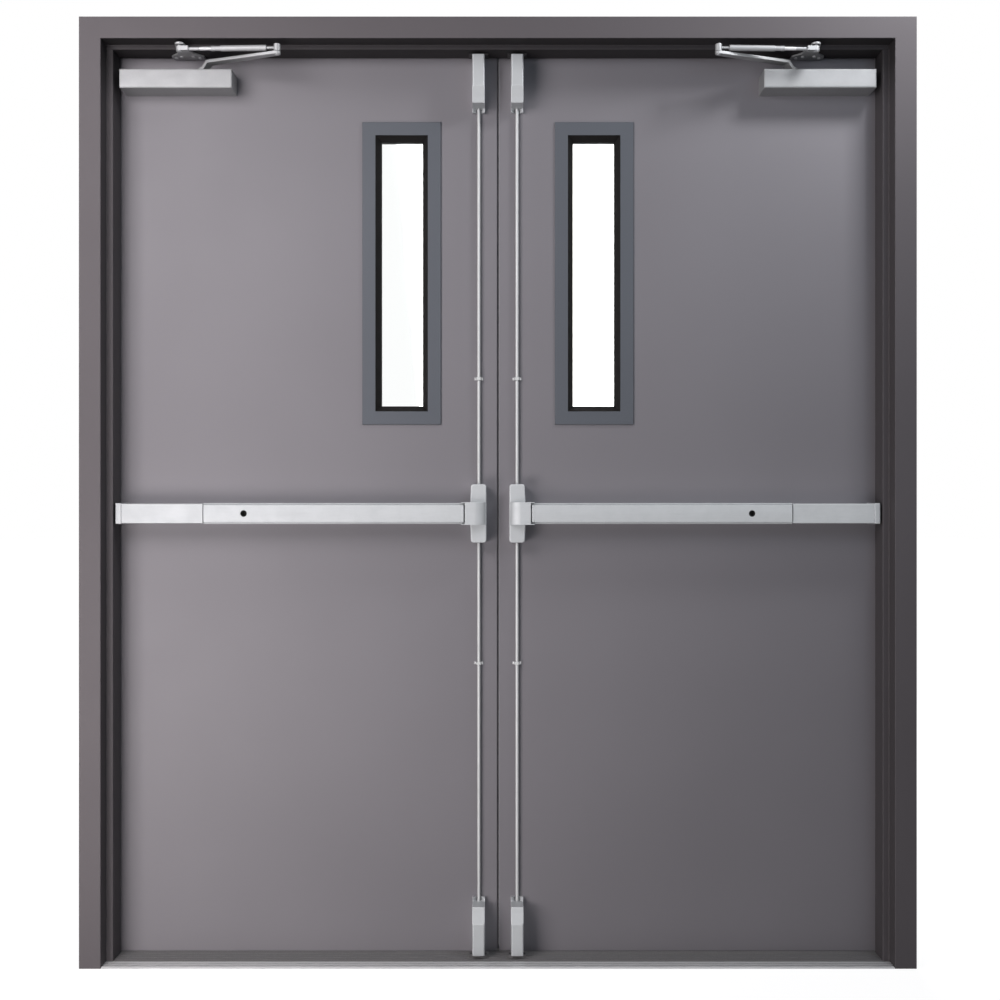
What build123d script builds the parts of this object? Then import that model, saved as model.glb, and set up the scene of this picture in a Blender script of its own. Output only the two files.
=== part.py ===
from build123d import *
import os

# Hollow metal double door in a pressed steel frame. Each leaf has a narrow vision lite, a surface
# closer with a parallel arm, and a touch-bar exit device that draws two surface vertical rods.
# X runs along the wall, +Y goes through the doorway in the direction in which the leaves open and
# +Z is up. The origin is on the floor, midway between the jambs and midway through the frame's depth.
# Everything on the left leaf is modelled, and the right one mirrors it. Lengths are in millimetres.

# Frame and opening
opening_width = 1828.8
opening_height = 2142.5
face_width = 50.8
frame_depth = 146.05
front_rabbet = 39.7
door_rabbet = 49.2
jamb_stop = 15.9
head_stop = 11.5
backbend = 12.7
sheet = 1.9
bend_radius = 2.4

# Leaves
leaf_thickness = 44.45
leaf_clearance = 5.0
leaf_channel_depth = 16.0
leaf_skin = 2.0

# Threshold
threshold_height = 3.2
threshold_bevel = 5.0
threshold_edge = 1.0
flute_start = 9.6
flute_pitch = 12.2
flute_width = 4.0
flute_depth = 0.9
stop_notch_gap = 0.3

# Vision lite
lite_width = 101.6
lite_sill_z = 1302.3
lite_centre_x = 229.5
lite_top_drop = 205.2
lite_slope = 12.0
lite_flange = 31.0
lite_flange_thickness = 3.6
lite_edge_round = 1.0
lite_wall = 2.5
glass_thickness = 15.9
glass_bite = 9.0
glazing_gap = 0.3

# Hinges
hinge_height = 114.3
hinge_plate = 3.4
hinge_plate_depth = 38.0
knuckle_radius = 6.5
knuckle_count = 3
knuckle_gap = 0.4
hinge_offset = 0.6
hinge_top_drop = 248.0
hinge_bottom_rise = 264.0
reinforcement_thickness = 4.8
reinforcement_height = 200.0

# Anchors
anchor_width = 50.0
anchor_thickness = 2.0
anchor_leg = 34.0
anchor_heights = (430.0, 1090.0, 1750.0)
anchor_inset = 20.0
anchor_hole_radius = 3.5
clip_thickness = 3.0
clip_length = 44.0
clip_width = 48.0
clip_rise = 50.0
clip_hole_radius = 5.5
clip_hole_inset = 26.0

# Touch-bar exit device
part_gap = 0.3
device_z = 1047.8
rail_height = 48.3
rail_lip = 52.0
rail_wall = 2.6
pad_clearance = 0.3
rail_cover_length = 190.2
rail_cover_height = 46.2
rail_cover_projection = 60.0
rail_cover_round = 2.0
end_cap_inset = 16.4
end_cap_width = 12.5
end_cap_height = 49.2
end_cap_projection = 61.5
end_cap_round = 3.0
pad_start_gap = 2.5
pad_end_x = 84.2
pad_height = 40.4
pad_back_room = 15.4
pad_projection = 63.5
pad_wall = 3.0
pad_crown = 1.0
pad_travel = 12.0
dog_hole_inset = 93.9
dog_hole_radius = 7.7
case_left_x = 65.1
case_end_x = 63.2
case_right_x = 27.2
case_height = 138.1
case_projection = 40.0
case_corner = 7.0
case_edge = 1.6
cover_left_x = 77.0
cover_bend_x = 55.0
cover_right_x = 29.2
cover_height = 49.8
cover_projection = 65.0
cover_inner_projection = 51.0
cover_plate = 1.4
cover_plate_x = 86.0

# Vertical rods, guides, latches and strikes
rod_offset_x = 45.5
rod_projection = 6.0
rod_radius = 3.75
rod_clearance = 0.6
rod_entry = 14.0
rod_travel = 10.0
rod_end_room = 6.0
bolt_projection = 26.0
bolt_radius = 6.0
link_start = 60.0
link_height = 12.0
guide_heights = (691.0, 1368.0)
guide_width = 20.5
guide_height = 7.0
guide_thickness = 1.6
guide_corner = 2.0
latch_width = 29.0
latch_length = 114.0
latch_flat_length = 73.0
latch_projection = 57.0
latch_slope_projection = 46.0
latch_slope_length = 97.0
latch_foot_length = 109.0
latch_foot_projection = 42.0
latch_edge = 2.4
lug_length = 8.0
lug_projection = 11.0
lug_floor = 1.5
top_latch_drop = 8.0
bottom_latch_rise = 12.5
bolt_gap = 1.0
strike_width = 46.0
strike_depth = 26.0
strike_thickness = 3.6
strike_pocket_radius = 8.5

# Surface closer
closer_inset = 24.9
closer_length = 262.0
closer_drop = 44.4
closer_height = 43.6
closer_projection = 60.0
closer_round = 3.5
spindle_inset = 73.5
spindle_projection = 39.6
spindle_radius = 5.0
pin_clearance = 0.3
hub_radius = 10.0
hub_gap = 0.4
arm_thickness = 6.4
arm_width = 23.0
arm_tip_width = 15.6
arm_drop = 28.2
arm_crank_start = 8.0
arm_crank_end = 21.0
elbow_reach = 189.0
elbow_y = -80.0
elbow_gap = 1.0
elbow_rise = 7.2
pivot_offset = 37.0
pivot_y = -72.0
forearm_drop = 12.8
forearm_rod_radius = 4.0
forearm_neck_radius = 2.9
collar_radius = 5.8
sleeve_radius = 5.4
tube_radius = 6.6
collar_start = 74.0
collar_end = 81.0
sleeve_end = 96.0
tube_end = 201.0
pivot_block_radius = 8.0
pivot_block_length = 21.0
pivot_block_height = 10.0
post_radius = 4.5
post_cap_radius = 6.5
post_cap_height = 2.0
bracket_thickness = 4.0
bracket_nose_radius = 10.8
bracket_base_width = 76.0
bracket_base_depth = 21.0
bracket_flare_width = 39.0
bracket_flare_depth = 39.0
bracket_neck_width = 29.0
bracket_neck_depth = 66.0

# Places worked out from the sizes above
half_opening = opening_width / 2
frame_height = opening_height + face_width
front_y = -frame_depth / 2
back_y = frame_depth / 2
stop_front_y = front_y + front_rabbet
stop_back_y = back_y - door_rabbet
soffit_z = opening_height - head_stop
jamb_line = -half_opening
stop_line = jamb_line + jamb_stop
leaf_back_y = back_y
leaf_front_y = back_y - leaf_thickness
leaf_left_x = jamb_line + leaf_clearance
leaf_right_x = -leaf_clearance / 2
leaf_centre_x = (leaf_left_x + leaf_right_x) / 2
leaf_undercut = threshold_height + leaf_clearance
leaf_top_z = opening_height - leaf_clearance
lite_height = opening_height - lite_top_drop - lite_sill_z
lite_centre_z = lite_sill_z + lite_height / 2
hinge_x = jamb_line + leaf_clearance / 2
hinge_y = back_y + knuckle_radius + hinge_offset
hinge_bottom_z = leaf_undercut + hinge_bottom_rise
hinge_top_z = opening_height - hinge_top_drop
hinge_levels = (hinge_bottom_z, (hinge_bottom_z + hinge_top_z) / 2, hinge_top_z)
rod_y = leaf_front_y - rod_projection
rod_groove_width = 2 * (rod_radius + rod_clearance)
rod_groove_depth = rod_projection + rod_radius + rod_clearance
bolt_y = leaf_front_y - bolt_projection
link_room = link_start + link_height + rod_travel + rod_clearance
case_bottom_z = device_z - case_height / 2
case_top_z = device_z + case_height / 2
top_latch_z = soffit_z - top_latch_drop
closer_left_x = -leaf_left_x - closer_inset
closer_right_x = closer_left_x - closer_length
spindle_x = closer_right_x + spindle_inset
elbow_x = spindle_x - elbow_reach
pivot_x = spindle_x + pivot_offset
closer_top_z = soffit_z - closer_drop
closer_bottom_z = closer_top_z - closer_height
arm_bottom_z = soffit_z - arm_drop
forearm_z = soffit_z - forearm_drop
spindle_y = leaf_front_y - spindle_projection
glass_front_y = leaf_back_y - leaf_thickness / 2 - glass_thickness / 2
end_cap_x = -leaf_left_x - end_cap_inset
rail_start_x = end_cap_x - end_cap_width - part_gap
rail_cover_end_x = rail_start_x - rail_cover_length
pad_start_x = rail_cover_end_x - pad_start_gap
dog_hole_x = pad_start_x - dog_hole_inset
rail_end_x = cover_left_x + part_gap
rail_lip_wall = (rail_height - pad_height) / 2 - pad_clearance
pad_inner = rail_wall + pad_travel + pad_back_room
rod_hole_depth = rod_entry + rod_travel + rod_end_room


def save(piece: BuildPart, name: str) -> None:
    """Label a finished piece and write it as its own file."""
    piece.part.label = name
    export_step(piece.part, f"parts/{name}.step")


def save_pair(left: BuildPart, name: str) -> None:
    """Write a piece of the left leaf, and its mirror image for the right leaf."""
    save(left, f"left_{name}")
    with BuildPart() as right:
        mirror(left.part, about=Plane.YZ)
    save(right, f"right_{name}")


def depth_plane(y: float) -> Plane:
    """Plane across the doorway at depth y, with X to the right, Z up and its normal to the viewer."""
    return Plane((0, y, 0), x_dir=(1, 0, 0), z_dir=(0, -1, 0))


def section_plane(x: float) -> Plane:
    """Plane across a level rail at x: local X is the projection from the leaf, local Y is the height."""
    return Plane((x, leaf_front_y, 0), x_dir=(0, -1, 0), z_dir=(-1, 0, 0))


def folded_line(stop: float) -> list:
    """Outer line of the folded sheet as (into the opening, through the wall) from the rabbet corner."""
    return [
        (-face_width, front_y + backbend),
        (-face_width, front_y),
        (0, front_y),
        (0, stop_front_y),
        (stop, stop_front_y),
        (stop, stop_back_y),
        (0, stop_back_y),
        (0, back_y),
        (-face_width, back_y),
        (-face_width, back_y - backbend),
    ]


def vertical_edges(builder: BuildPart) -> ShapeList:
    """Edges of the piece that run straight up."""
    return builder.edges().filter_by(Axis.Z)


os.makedirs("parts", exist_ok=True)

# Frame: three lengths of folded sheet, mitred at the faces, with the jamb stop butted under the head
with BuildPart() as jamb_left:
    with BuildSketch():
        with BuildLine():
            FilletPolyline(*[(jamb_line + u, y) for u, y in folded_line(jamb_stop)], radius=bend_radius)
            offset(amount=sheet, side=Side.LEFT)
        make_face()
    extrude(amount=frame_height)
    with BuildSketch(depth_plane(0)):
        with BuildLine():
            Polyline(
                (jamb_line - face_width, 0),
                (stop_line, 0),
                (stop_line, soffit_z),
                (jamb_line, soffit_z),
                (jamb_line, opening_height),
                (jamb_line - face_width, frame_height),
                close=True,
            )
        make_face()
    extrude(amount=frame_depth, both=True, mode=Mode.INTERSECT)
    with Locations(*[(jamb_line - sheet, (stop_back_y + back_y) / 2, z) for z in hinge_levels]):
        Box(
            reinforcement_thickness,
            door_rabbet - 2 * sheet,
            reinforcement_height,
            align=(Align.MAX, Align.CENTER, Align.CENTER),
        )
    with Locations(*[(jamb_line, back_y, z) for z in hinge_levels]):
        Box(
            2 * hinge_plate,
            2 * (hinge_plate_depth + part_gap),
            hinge_height + 2 * part_gap,
            mode=Mode.SUBTRACT,
        )

with BuildPart() as jamb_right:
    mirror(jamb_left.part, about=Plane.YZ)

with BuildPart() as frame_head:
    with BuildSketch(Plane.YZ):
        with BuildLine():
            FilletPolyline(*[(y, opening_height - u) for u, y in folded_line(head_stop)], radius=bend_radius)
            offset(amount=sheet, side=Side.LEFT)
        make_face()
    extrude(amount=half_opening + face_width, both=True)
    with BuildSketch(depth_plane(0)):
        with BuildLine():
            Polyline(
                (jamb_line, soffit_z),
                (-jamb_line, soffit_z),
                (-jamb_line, opening_height),
                (-jamb_line + face_width, frame_height),
                (jamb_line - face_width, frame_height),
                (jamb_line, opening_height),
                close=True,
            )
        make_face()
    extrude(amount=frame_depth, both=True, mode=Mode.INTERSECT)

save(jamb_left, "jamb_left")
save(jamb_right, "jamb_right")
save(frame_head, "frame_head")

# Anchors inside the throat: straps screwed to the wall, and an angle bolted to the floor at each foot
strap_x = jamb_line - anchor_inset
clip_wall_x = stop_line - sheet
with BuildPart() as anchors_left:
    for level in anchor_heights:
        with BuildSketch(Plane.XY.offset(level - anchor_width / 2)):
            with BuildLine():
                Polyline(
                    (strap_x - anchor_leg / 2, front_y + sheet),
                    (strap_x, front_y + sheet),
                    (strap_x, back_y - sheet),
                    (strap_x - anchor_leg / 2, back_y - sheet),
                )
                offset(amount=anchor_thickness, side=Side.LEFT)
            make_face()
        extrude(amount=anchor_width)
    with BuildSketch(Plane.YZ.offset(strap_x)):
        with Locations(*[(0, level) for level in anchor_heights]):
            Circle(anchor_hole_radius)
    extrude(amount=anchor_leg, both=True, mode=Mode.SUBTRACT)
    with BuildSketch(depth_plane((stop_front_y + stop_back_y) / 2)):
        with BuildLine():
            Polyline(
                (clip_wall_x, clip_rise),
                (clip_wall_x, 0),
                (clip_wall_x - clip_length, 0),
                (clip_wall_x - clip_length, clip_thickness),
                (clip_wall_x - clip_thickness, clip_thickness),
                (clip_wall_x - clip_thickness, clip_rise),
                close=True,
            )
        make_face()
    extrude(amount=clip_width / 2, both=True)
    with BuildSketch():
        with Locations((clip_wall_x - clip_hole_inset, (stop_front_y + stop_back_y) / 2)):
            Circle(clip_hole_radius)
    extrude(amount=clip_thickness, mode=Mode.SUBTRACT)

with BuildPart() as frame_anchors:
    add(anchors_left.part)
    mirror(anchors_left.part, about=Plane.YZ)
save(frame_anchors, "frame_anchors")

# Threshold: a low fluted saddle between the jambs, notched round their stops
flute_count = int((frame_depth - 2 * flute_start) / flute_pitch) + 1
with BuildPart() as threshold:
    with BuildSketch(Plane.YZ):
        with BuildLine():
            Polyline(
                (front_y, 0),
                (front_y, threshold_edge),
                (front_y + threshold_bevel, threshold_height),
                (back_y - threshold_bevel, threshold_height),
                (back_y, threshold_edge),
                (back_y, 0),
                close=True,
            )
        make_face()
        for index in range(flute_count):
            with Locations((front_y + flute_start + index * flute_pitch, threshold_height)):
                Rectangle(flute_width, 2 * flute_depth, mode=Mode.SUBTRACT)
    extrude(amount=half_opening - stop_notch_gap, both=True)
    with Locations(
        (-half_opening, (stop_front_y + stop_back_y) / 2, 0),
        (half_opening, (stop_front_y + stop_back_y) / 2, 0),
    ):
        Box(
            2 * (jamb_stop + stop_notch_gap),
            stop_back_y - stop_front_y + 2 * bend_radius,
            3 * threshold_height,
            mode=Mode.SUBTRACT,
        )
save(threshold, "threshold")

# Hinges: the frame's plates carry the outer knuckles, the leaf's the ones between them
knuckle_pitch = hinge_height / knuckle_count


def knuckle_base(level: float, index: int) -> float:
    """Height of the underside of one knuckle of the hinge centred at this level."""
    return level - hinge_height / 2 + index * knuckle_pitch + knuckle_gap / 2


with BuildPart() as hinge_frame_plates:
    for level in hinge_levels:
        with BuildSketch(Plane.XY.offset(level - hinge_height / 2)):
            with Locations((jamb_line, back_y - hinge_plate_depth)):
                Rectangle(hinge_plate, hinge_plate_depth, align=(Align.MAX, Align.MIN))
        extrude(amount=hinge_height)
        for index in range(0, knuckle_count, 2):
            with BuildSketch(Plane.XY.offset(knuckle_base(level, index))):
                with Locations((jamb_line, back_y - hinge_plate)):
                    Rectangle(hinge_plate, hinge_y - back_y + hinge_plate, align=(Align.MAX, Align.MIN))
                with Locations((hinge_x, hinge_y)):
                    Circle(knuckle_radius)
            extrude(amount=knuckle_pitch - knuckle_gap)

with BuildPart() as hinge_frame_halves:
    add(hinge_frame_plates.part)
    mirror(hinge_frame_plates.part, about=Plane.YZ)
save(hinge_frame_halves, "hinge_frame_halves")

with BuildPart() as hinge_leaf_halves:
    for level in hinge_levels:
        with BuildSketch(Plane.XY.offset(level - hinge_height / 2)):
            with Locations((leaf_left_x, back_y - hinge_plate_depth)):
                Rectangle(hinge_plate, hinge_plate_depth, align=(Align.MIN, Align.MIN))
        extrude(amount=hinge_height)
        for index in range(1, knuckle_count, 2):
            with BuildSketch(Plane.XY.offset(knuckle_base(level, index))):
                with Locations((leaf_left_x, back_y - hinge_plate)):
                    Rectangle(hinge_plate, hinge_y - back_y + hinge_plate, align=(Align.MIN, Align.MIN))
                with Locations((hinge_x, hinge_y)):
                    Circle(knuckle_radius)
            extrude(amount=knuckle_pitch - knuckle_gap)
save_pair(hinge_leaf_halves, "hinge_halves")

# Leaf: a slab with channels let in at top and bottom, the lite's cut-out and the hinge mortises
cutout_width = lite_width + 2 * (lite_slope + lite_wall)
cutout_height = lite_height + 2 * (lite_slope + lite_wall)
with BuildPart() as door_leaf:
    with BuildSketch(Plane.XY.offset(leaf_undercut)):
        with Locations((leaf_centre_x, (leaf_front_y + leaf_back_y) / 2)):
            Rectangle(leaf_right_x - leaf_left_x, leaf_thickness)
    extrude(amount=leaf_top_z - leaf_undercut)
    with Locations(
        (leaf_centre_x, (leaf_front_y + leaf_back_y) / 2, leaf_undercut),
        (leaf_centre_x, (leaf_front_y + leaf_back_y) / 2, leaf_top_z),
    ):
        Box(
            leaf_right_x - leaf_left_x - 2 * leaf_skin,
            leaf_thickness - 2 * leaf_skin,
            2 * leaf_channel_depth,
            mode=Mode.SUBTRACT,
        )
    with BuildSketch(depth_plane(leaf_front_y)):
        with Locations((-lite_centre_x, lite_centre_z)):
            Rectangle(cutout_width + 2 * part_gap, cutout_height + 2 * part_gap)
    extrude(amount=-leaf_thickness, mode=Mode.SUBTRACT)
    with Locations(*[(leaf_left_x, back_y, level) for level in hinge_levels]):
        Box(
            2 * hinge_plate,
            2 * (hinge_plate_depth + part_gap),
            hinge_height + 2 * part_gap,
            mode=Mode.SUBTRACT,
        )
save_pair(door_leaf, "door_leaf")

# Lite frames: a flat flange over the leaf, a sloped reveal down to the glass and a leg in the cut-out
with BuildPart() as lite_frame_push:
    reveal_depth = glass_front_y - glazing_gap - leaf_front_y
    with BuildSketch(depth_plane(leaf_front_y)):
        with Locations((-lite_centre_x, lite_centre_z)):
            Rectangle(cutout_width, cutout_height)
    extrude(amount=-reveal_depth)
    with BuildSketch(depth_plane(leaf_front_y)):
        with Locations((-lite_centre_x, lite_centre_z)):
            Rectangle(
                lite_width + 2 * (lite_slope + lite_flange),
                lite_height + 2 * (lite_slope + lite_flange),
            )
    extrude(amount=lite_flange_thickness)
    chamfer(
        lite_frame_push.faces().sort_by(Axis.Y)[0].edges(),
        length=lite_edge_round,
    )
    with BuildSketch(depth_plane(leaf_front_y - lite_flange_thickness)) as reveal_mouth:
        with Locations((-lite_centre_x, lite_centre_z)):
            Rectangle(lite_width + 2 * lite_slope, lite_height + 2 * lite_slope)
    with BuildSketch(depth_plane(leaf_front_y + reveal_depth)) as reveal_end:
        with Locations((-lite_centre_x, lite_centre_z)):
            Rectangle(lite_width, lite_height)
    loft(sections=[reveal_mouth.sketch, reveal_end.sketch], mode=Mode.SUBTRACT)
save_pair(lite_frame_push, "lite_frame_push")

leaf_middle = Plane((0, (leaf_front_y + leaf_back_y) / 2, 0), x_dir=(1, 0, 0), z_dir=(0, -1, 0))
with BuildPart() as lite_frame_pull:
    mirror(lite_frame_push.part, about=leaf_middle)
save_pair(lite_frame_pull, "lite_frame_pull")

with BuildPart() as lite_glass:
    with BuildSketch(depth_plane(glass_front_y)):
        with Locations((-lite_centre_x, lite_centre_z)):
            Rectangle(lite_width + 2 * glass_bite, lite_height + 2 * glass_bite)
    extrude(amount=-glass_thickness)
save_pair(lite_glass, "lite_glass")

# Exit device: an open rail along the leaf with a plain cover at its hinge end
with BuildPart() as bar_rail:
    with BuildSketch(section_plane(-rail_end_x)):
        with BuildLine():
            Polyline(
                (0, device_z - rail_height / 2),
                (rail_lip, device_z - rail_height / 2),
                (rail_lip, device_z - rail_height / 2 + rail_lip_wall),
                (rail_wall, device_z - rail_height / 2 + rail_lip_wall),
                (rail_wall, device_z + rail_height / 2 - rail_lip_wall),
                (rail_lip, device_z + rail_height / 2 - rail_lip_wall),
                (rail_lip, device_z + rail_height / 2),
                (0, device_z + rail_height / 2),
                close=True,
            )
        make_face()
    extrude(amount=rail_cover_end_x - rail_end_x)
    with BuildSketch(section_plane(-rail_cover_end_x)):
        with Locations((rail_cover_projection / 2, device_z)):
            Rectangle(rail_cover_projection, rail_cover_height)
    extrude(amount=rail_start_x - rail_cover_end_x)
    cover_front = bar_rail.edges().filter_by(Axis.X).group_by(Axis.Y)[0]
    fillet(cover_front, radius=rail_cover_round)
save_pair(bar_rail, "bar_rail")

with BuildPart() as bar_end_cap:
    with BuildSketch(section_plane(-rail_start_x - part_gap)):
        with Locations((end_cap_projection / 2, device_z)):
            Rectangle(end_cap_projection, end_cap_height)
    extrude(amount=end_cap_x - rail_start_x - part_gap)
    fillet(bar_end_cap.faces().sort_by(Axis.Y)[0].edges().filter_by(Axis.X), radius=end_cap_round)
save_pair(bar_end_cap, "bar_end_cap")

with BuildPart() as push_pad:
    with BuildSketch(section_plane(-pad_end_x)):
        with BuildLine():
            Polyline(
                (pad_projection - pad_crown, device_z - pad_height / 2),
                (pad_inner, device_z - pad_height / 2),
                (pad_inner, device_z + pad_height / 2),
                (pad_projection - pad_crown, device_z + pad_height / 2),
            )
            ThreePointArc(
                (pad_projection - pad_crown, device_z + pad_height / 2),
                (pad_projection, device_z),
                (pad_projection - pad_crown, device_z - pad_height / 2),
            )
        make_face()
    extrude(amount=pad_start_x - pad_end_x)
    with BuildSketch(section_plane(-pad_end_x)):
        with Locations((pad_inner, device_z)):
            Rectangle(
                2 * (pad_projection - pad_crown - pad_wall - pad_inner),
                pad_height - 2 * pad_wall,
            )
    extrude(amount=pad_start_x - pad_end_x, mode=Mode.SUBTRACT)
    with BuildSketch(depth_plane(leaf_front_y - pad_inner)):
        with Locations((-dog_hole_x, device_z)):
            Circle(dog_hole_radius)
    extrude(amount=pad_projection, mode=Mode.SUBTRACT)
save_pair(push_pad, "push_pad")

# Centre case: two flanges that taper away from the cover, grooved along the leaf for the rods
with BuildPart() as center_case:
    with BuildSketch(depth_plane(leaf_front_y)) as case_outline:
        with BuildLine():
            Polyline(
                (-case_right_x, case_bottom_z),
                (-case_end_x, case_bottom_z),
                (-case_left_x, device_z - cover_height / 2),
                (-case_left_x, device_z + cover_height / 2),
                (-case_end_x, case_top_z),
                (-case_right_x, case_top_z),
                close=True,
            )
        make_face()
        case_corners = case_outline.vertices().group_by(Axis.Y)
        fillet(case_corners[0] + case_corners[-1], radius=case_corner)
    extrude(amount=case_projection)
    chamfer(center_case.faces().sort_by(Axis.Y)[0].edges(), length=case_edge)
    for level, length in ((case_bottom_z, rod_hole_depth), (case_top_z, -rod_hole_depth)):
        with BuildSketch(Plane.XY.offset(level)):
            with Locations((-rod_offset_x, leaf_front_y)):
                Rectangle(rod_groove_width, rod_groove_depth, align=(Align.CENTER, Align.MAX))
        extrude(amount=length, mode=Mode.SUBTRACT)
save_pair(center_case, "center_case")


def cover_plan(level: float, left_x: float) -> Sketch:
    """Plan of the cover at a level: flat beside the pad, then curving back to the meeting edge."""
    with BuildSketch(Plane.XY.offset(level)) as plan:
        with BuildLine():
            Polyline(
                (-cover_right_x, leaf_front_y - cover_inner_projection),
                (-cover_right_x, leaf_front_y),
                (-left_x, leaf_front_y),
                (-left_x, leaf_front_y - cover_projection),
                (-cover_bend_x, leaf_front_y - cover_projection),
            )
            TangentArc(
                (-cover_bend_x, leaf_front_y - cover_projection),
                (-cover_right_x, leaf_front_y - cover_inner_projection),
                tangent=(1, 0),
            )
        make_face()
    return plan.sketch


# The cover over the case's middle, between two thin plates that reach over the end of the pad
with BuildPart() as center_cover:
    extrude(cover_plan(device_z - cover_height / 2, cover_left_x), amount=cover_height)
    extrude(cover_plan(device_z + cover_height / 2, cover_plate_x), amount=cover_plate)
    extrude(cover_plan(device_z - cover_height / 2, cover_plate_x), amount=-cover_plate)
    with BuildSketch(depth_plane(leaf_front_y)):
        with Locations((-(case_left_x + case_right_x) / 2, device_z)):
            Rectangle(case_left_x - case_right_x + 2 * part_gap, case_height)
    extrude(amount=case_projection + part_gap, mode=Mode.SUBTRACT)
save_pair(center_cover, "center_cover")


# Latch cases: one casting at the top of the leaf and the same one upside down at the bottom
def latch_outline(end_z: float, inward: float) -> list:
    """Side outline of a latch case as (projection, height): inward is -1 below the head, 1 above the sill."""
    return [
        (0, end_z),
        (latch_projection, end_z),
        (latch_projection, end_z + inward * latch_flat_length),
        (latch_slope_projection, end_z + inward * latch_slope_length),
        (latch_foot_projection, end_z + inward * latch_foot_length),
        (0, end_z + inward * latch_length),
    ]


def build_latch_case(end_z: float, inward: float) -> BuildPart:
    """Latch case of the left leaf, with a trough at its foot and room inside for the rod and bolt."""
    with BuildPart() as latch_case:
        with BuildSketch(section_plane(-rod_offset_x)):
            with BuildLine():
                Polyline(*latch_outline(end_z, inward), close=True)
            make_face()
        extrude(amount=latch_width / 2, both=True)
        chamfer(latch_case.faces().sort_by(Axis.Y)[0].edges().filter_by(Axis.Z), length=latch_edge)
        with BuildSketch(Plane.XY.offset(end_z + inward * latch_foot_length)):
            with BuildLine():
                Polyline(
                    (-rod_offset_x - latch_width / 2, leaf_front_y),
                    (-rod_offset_x - latch_width / 2, leaf_front_y - lug_projection),
                    (-rod_offset_x - rod_groove_width / 2, leaf_front_y - lug_floor),
                    (-rod_offset_x + rod_groove_width / 2, leaf_front_y - lug_floor),
                    (-rod_offset_x + latch_width / 2, leaf_front_y - lug_projection),
                    (-rod_offset_x + latch_width / 2, leaf_front_y),
                    close=True,
                )
            make_face()
        extrude(amount=inward * (latch_length + lug_length - latch_foot_length))
        with BuildSketch(Plane.XY.offset(end_z + inward * (link_start - rod_clearance))):
            with Locations((-rod_offset_x, leaf_front_y)):
                Rectangle(rod_groove_width, rod_groove_depth, align=(Align.CENTER, Align.MAX))
        extrude(amount=inward * (latch_length + lug_length - link_start + rod_clearance), mode=Mode.SUBTRACT)
        with BuildSketch(Plane.XY.offset(end_z + inward * (link_start - rod_clearance))):
            with Locations((-rod_offset_x, leaf_front_y)):
                Rectangle(rod_groove_width, bolt_projection, align=(Align.CENTER, Align.MAX))
        extrude(amount=inward * (link_room - link_start + rod_clearance), mode=Mode.SUBTRACT)
        with BuildSketch(Plane.XY.offset(end_z)):
            with Locations((-rod_offset_x, bolt_y)):
                Circle(bolt_radius + rod_clearance)
        extrude(amount=inward * link_room, mode=Mode.SUBTRACT)
    return latch_case


top_latch_case = build_latch_case(top_latch_z, -1)
bottom_latch_case = build_latch_case(bottom_latch_rise, 1)
save_pair(top_latch_case, "top_latch_case")
save_pair(bottom_latch_case, "bottom_latch_case")

# Guides: small straps bent over the rods, with their feet flat on the leaf
with BuildPart() as rod_guides:
    for level in guide_heights:
        with BuildSketch(Plane.XY.offset(level - guide_height / 2)):
            with Locations((-rod_offset_x, leaf_front_y)):
                Rectangle(guide_width, guide_thickness, align=(Align.CENTER, Align.MAX))
                Rectangle(
                    rod_groove_width + 2 * guide_thickness,
                    rod_groove_depth + guide_thickness,
                    align=(Align.CENTER, Align.MAX),
                )
        extrude(amount=guide_height)
    chamfer(vertical_edges(rod_guides).group_by(Axis.Y)[0], length=guide_corner)
    with BuildSketch(Plane.XY.offset(guide_heights[0] - guide_height)):
        with Locations((-rod_offset_x, leaf_front_y)):
            Rectangle(rod_groove_width, rod_groove_depth, align=(Align.CENTER, Align.MAX))
    extrude(amount=guide_heights[1] - guide_heights[0] + 2 * guide_height, mode=Mode.SUBTRACT)
save_pair(rod_guides, "rod_guides")


def build_rod(case_end_z: float, latch_end_z: float, inward: float, tip_z: float) -> BuildPart:
    """Rod along the leaf from the centre case into the latch case, linked there to the bolt in front."""
    link_near_z = latch_end_z + inward * link_start
    link_far_z = link_near_z + inward * link_height
    with BuildPart() as rod:
        with BuildSketch(Plane.XY.offset(case_end_z)):
            with Locations((-rod_offset_x, rod_y)):
                Circle(rod_radius)
        extrude(amount=link_near_z - case_end_z)
        with BuildSketch(Plane.XY.offset(link_near_z)):
            with Locations((-rod_offset_x, rod_y)):
                Rectangle(2 * rod_radius, rod_y - bolt_y, align=(Align.CENTER, Align.MAX))
        extrude(amount=link_far_z - link_near_z)
        with BuildSketch(Plane.XY.offset(link_far_z)):
            with Locations((-rod_offset_x, bolt_y)):
                Circle(bolt_radius)
        extrude(amount=tip_z - link_far_z)
    return rod


top_rod = build_rod(case_top_z - rod_entry, top_latch_z, -1, soffit_z - bolt_gap)
bottom_rod = build_rod(
    case_bottom_z + rod_entry, bottom_latch_rise, 1, threshold_height + bolt_gap
)
save_pair(top_rod, "top_rod")
save_pair(bottom_rod, "bottom_rod")


def build_strikes(level: float, thickness: float) -> BuildPart:
    """A pair of strike plates with a pocket for each bolt, laid on the level given."""
    with BuildPart() as strikes:
        with BuildSketch(Plane.XY.offset(level)):
            with Locations((-rod_offset_x, bolt_y), (rod_offset_x, bolt_y)):
                Rectangle(strike_width, strike_depth)
            with Locations((-rod_offset_x, bolt_y), (rod_offset_x, bolt_y)):
                Circle(strike_pocket_radius, mode=Mode.SUBTRACT)
        extrude(amount=thickness)
    return strikes


save(build_strikes(soffit_z, -strike_thickness), "top_strikes")
save(build_strikes(threshold_height, strike_thickness), "bottom_strikes")

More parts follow.
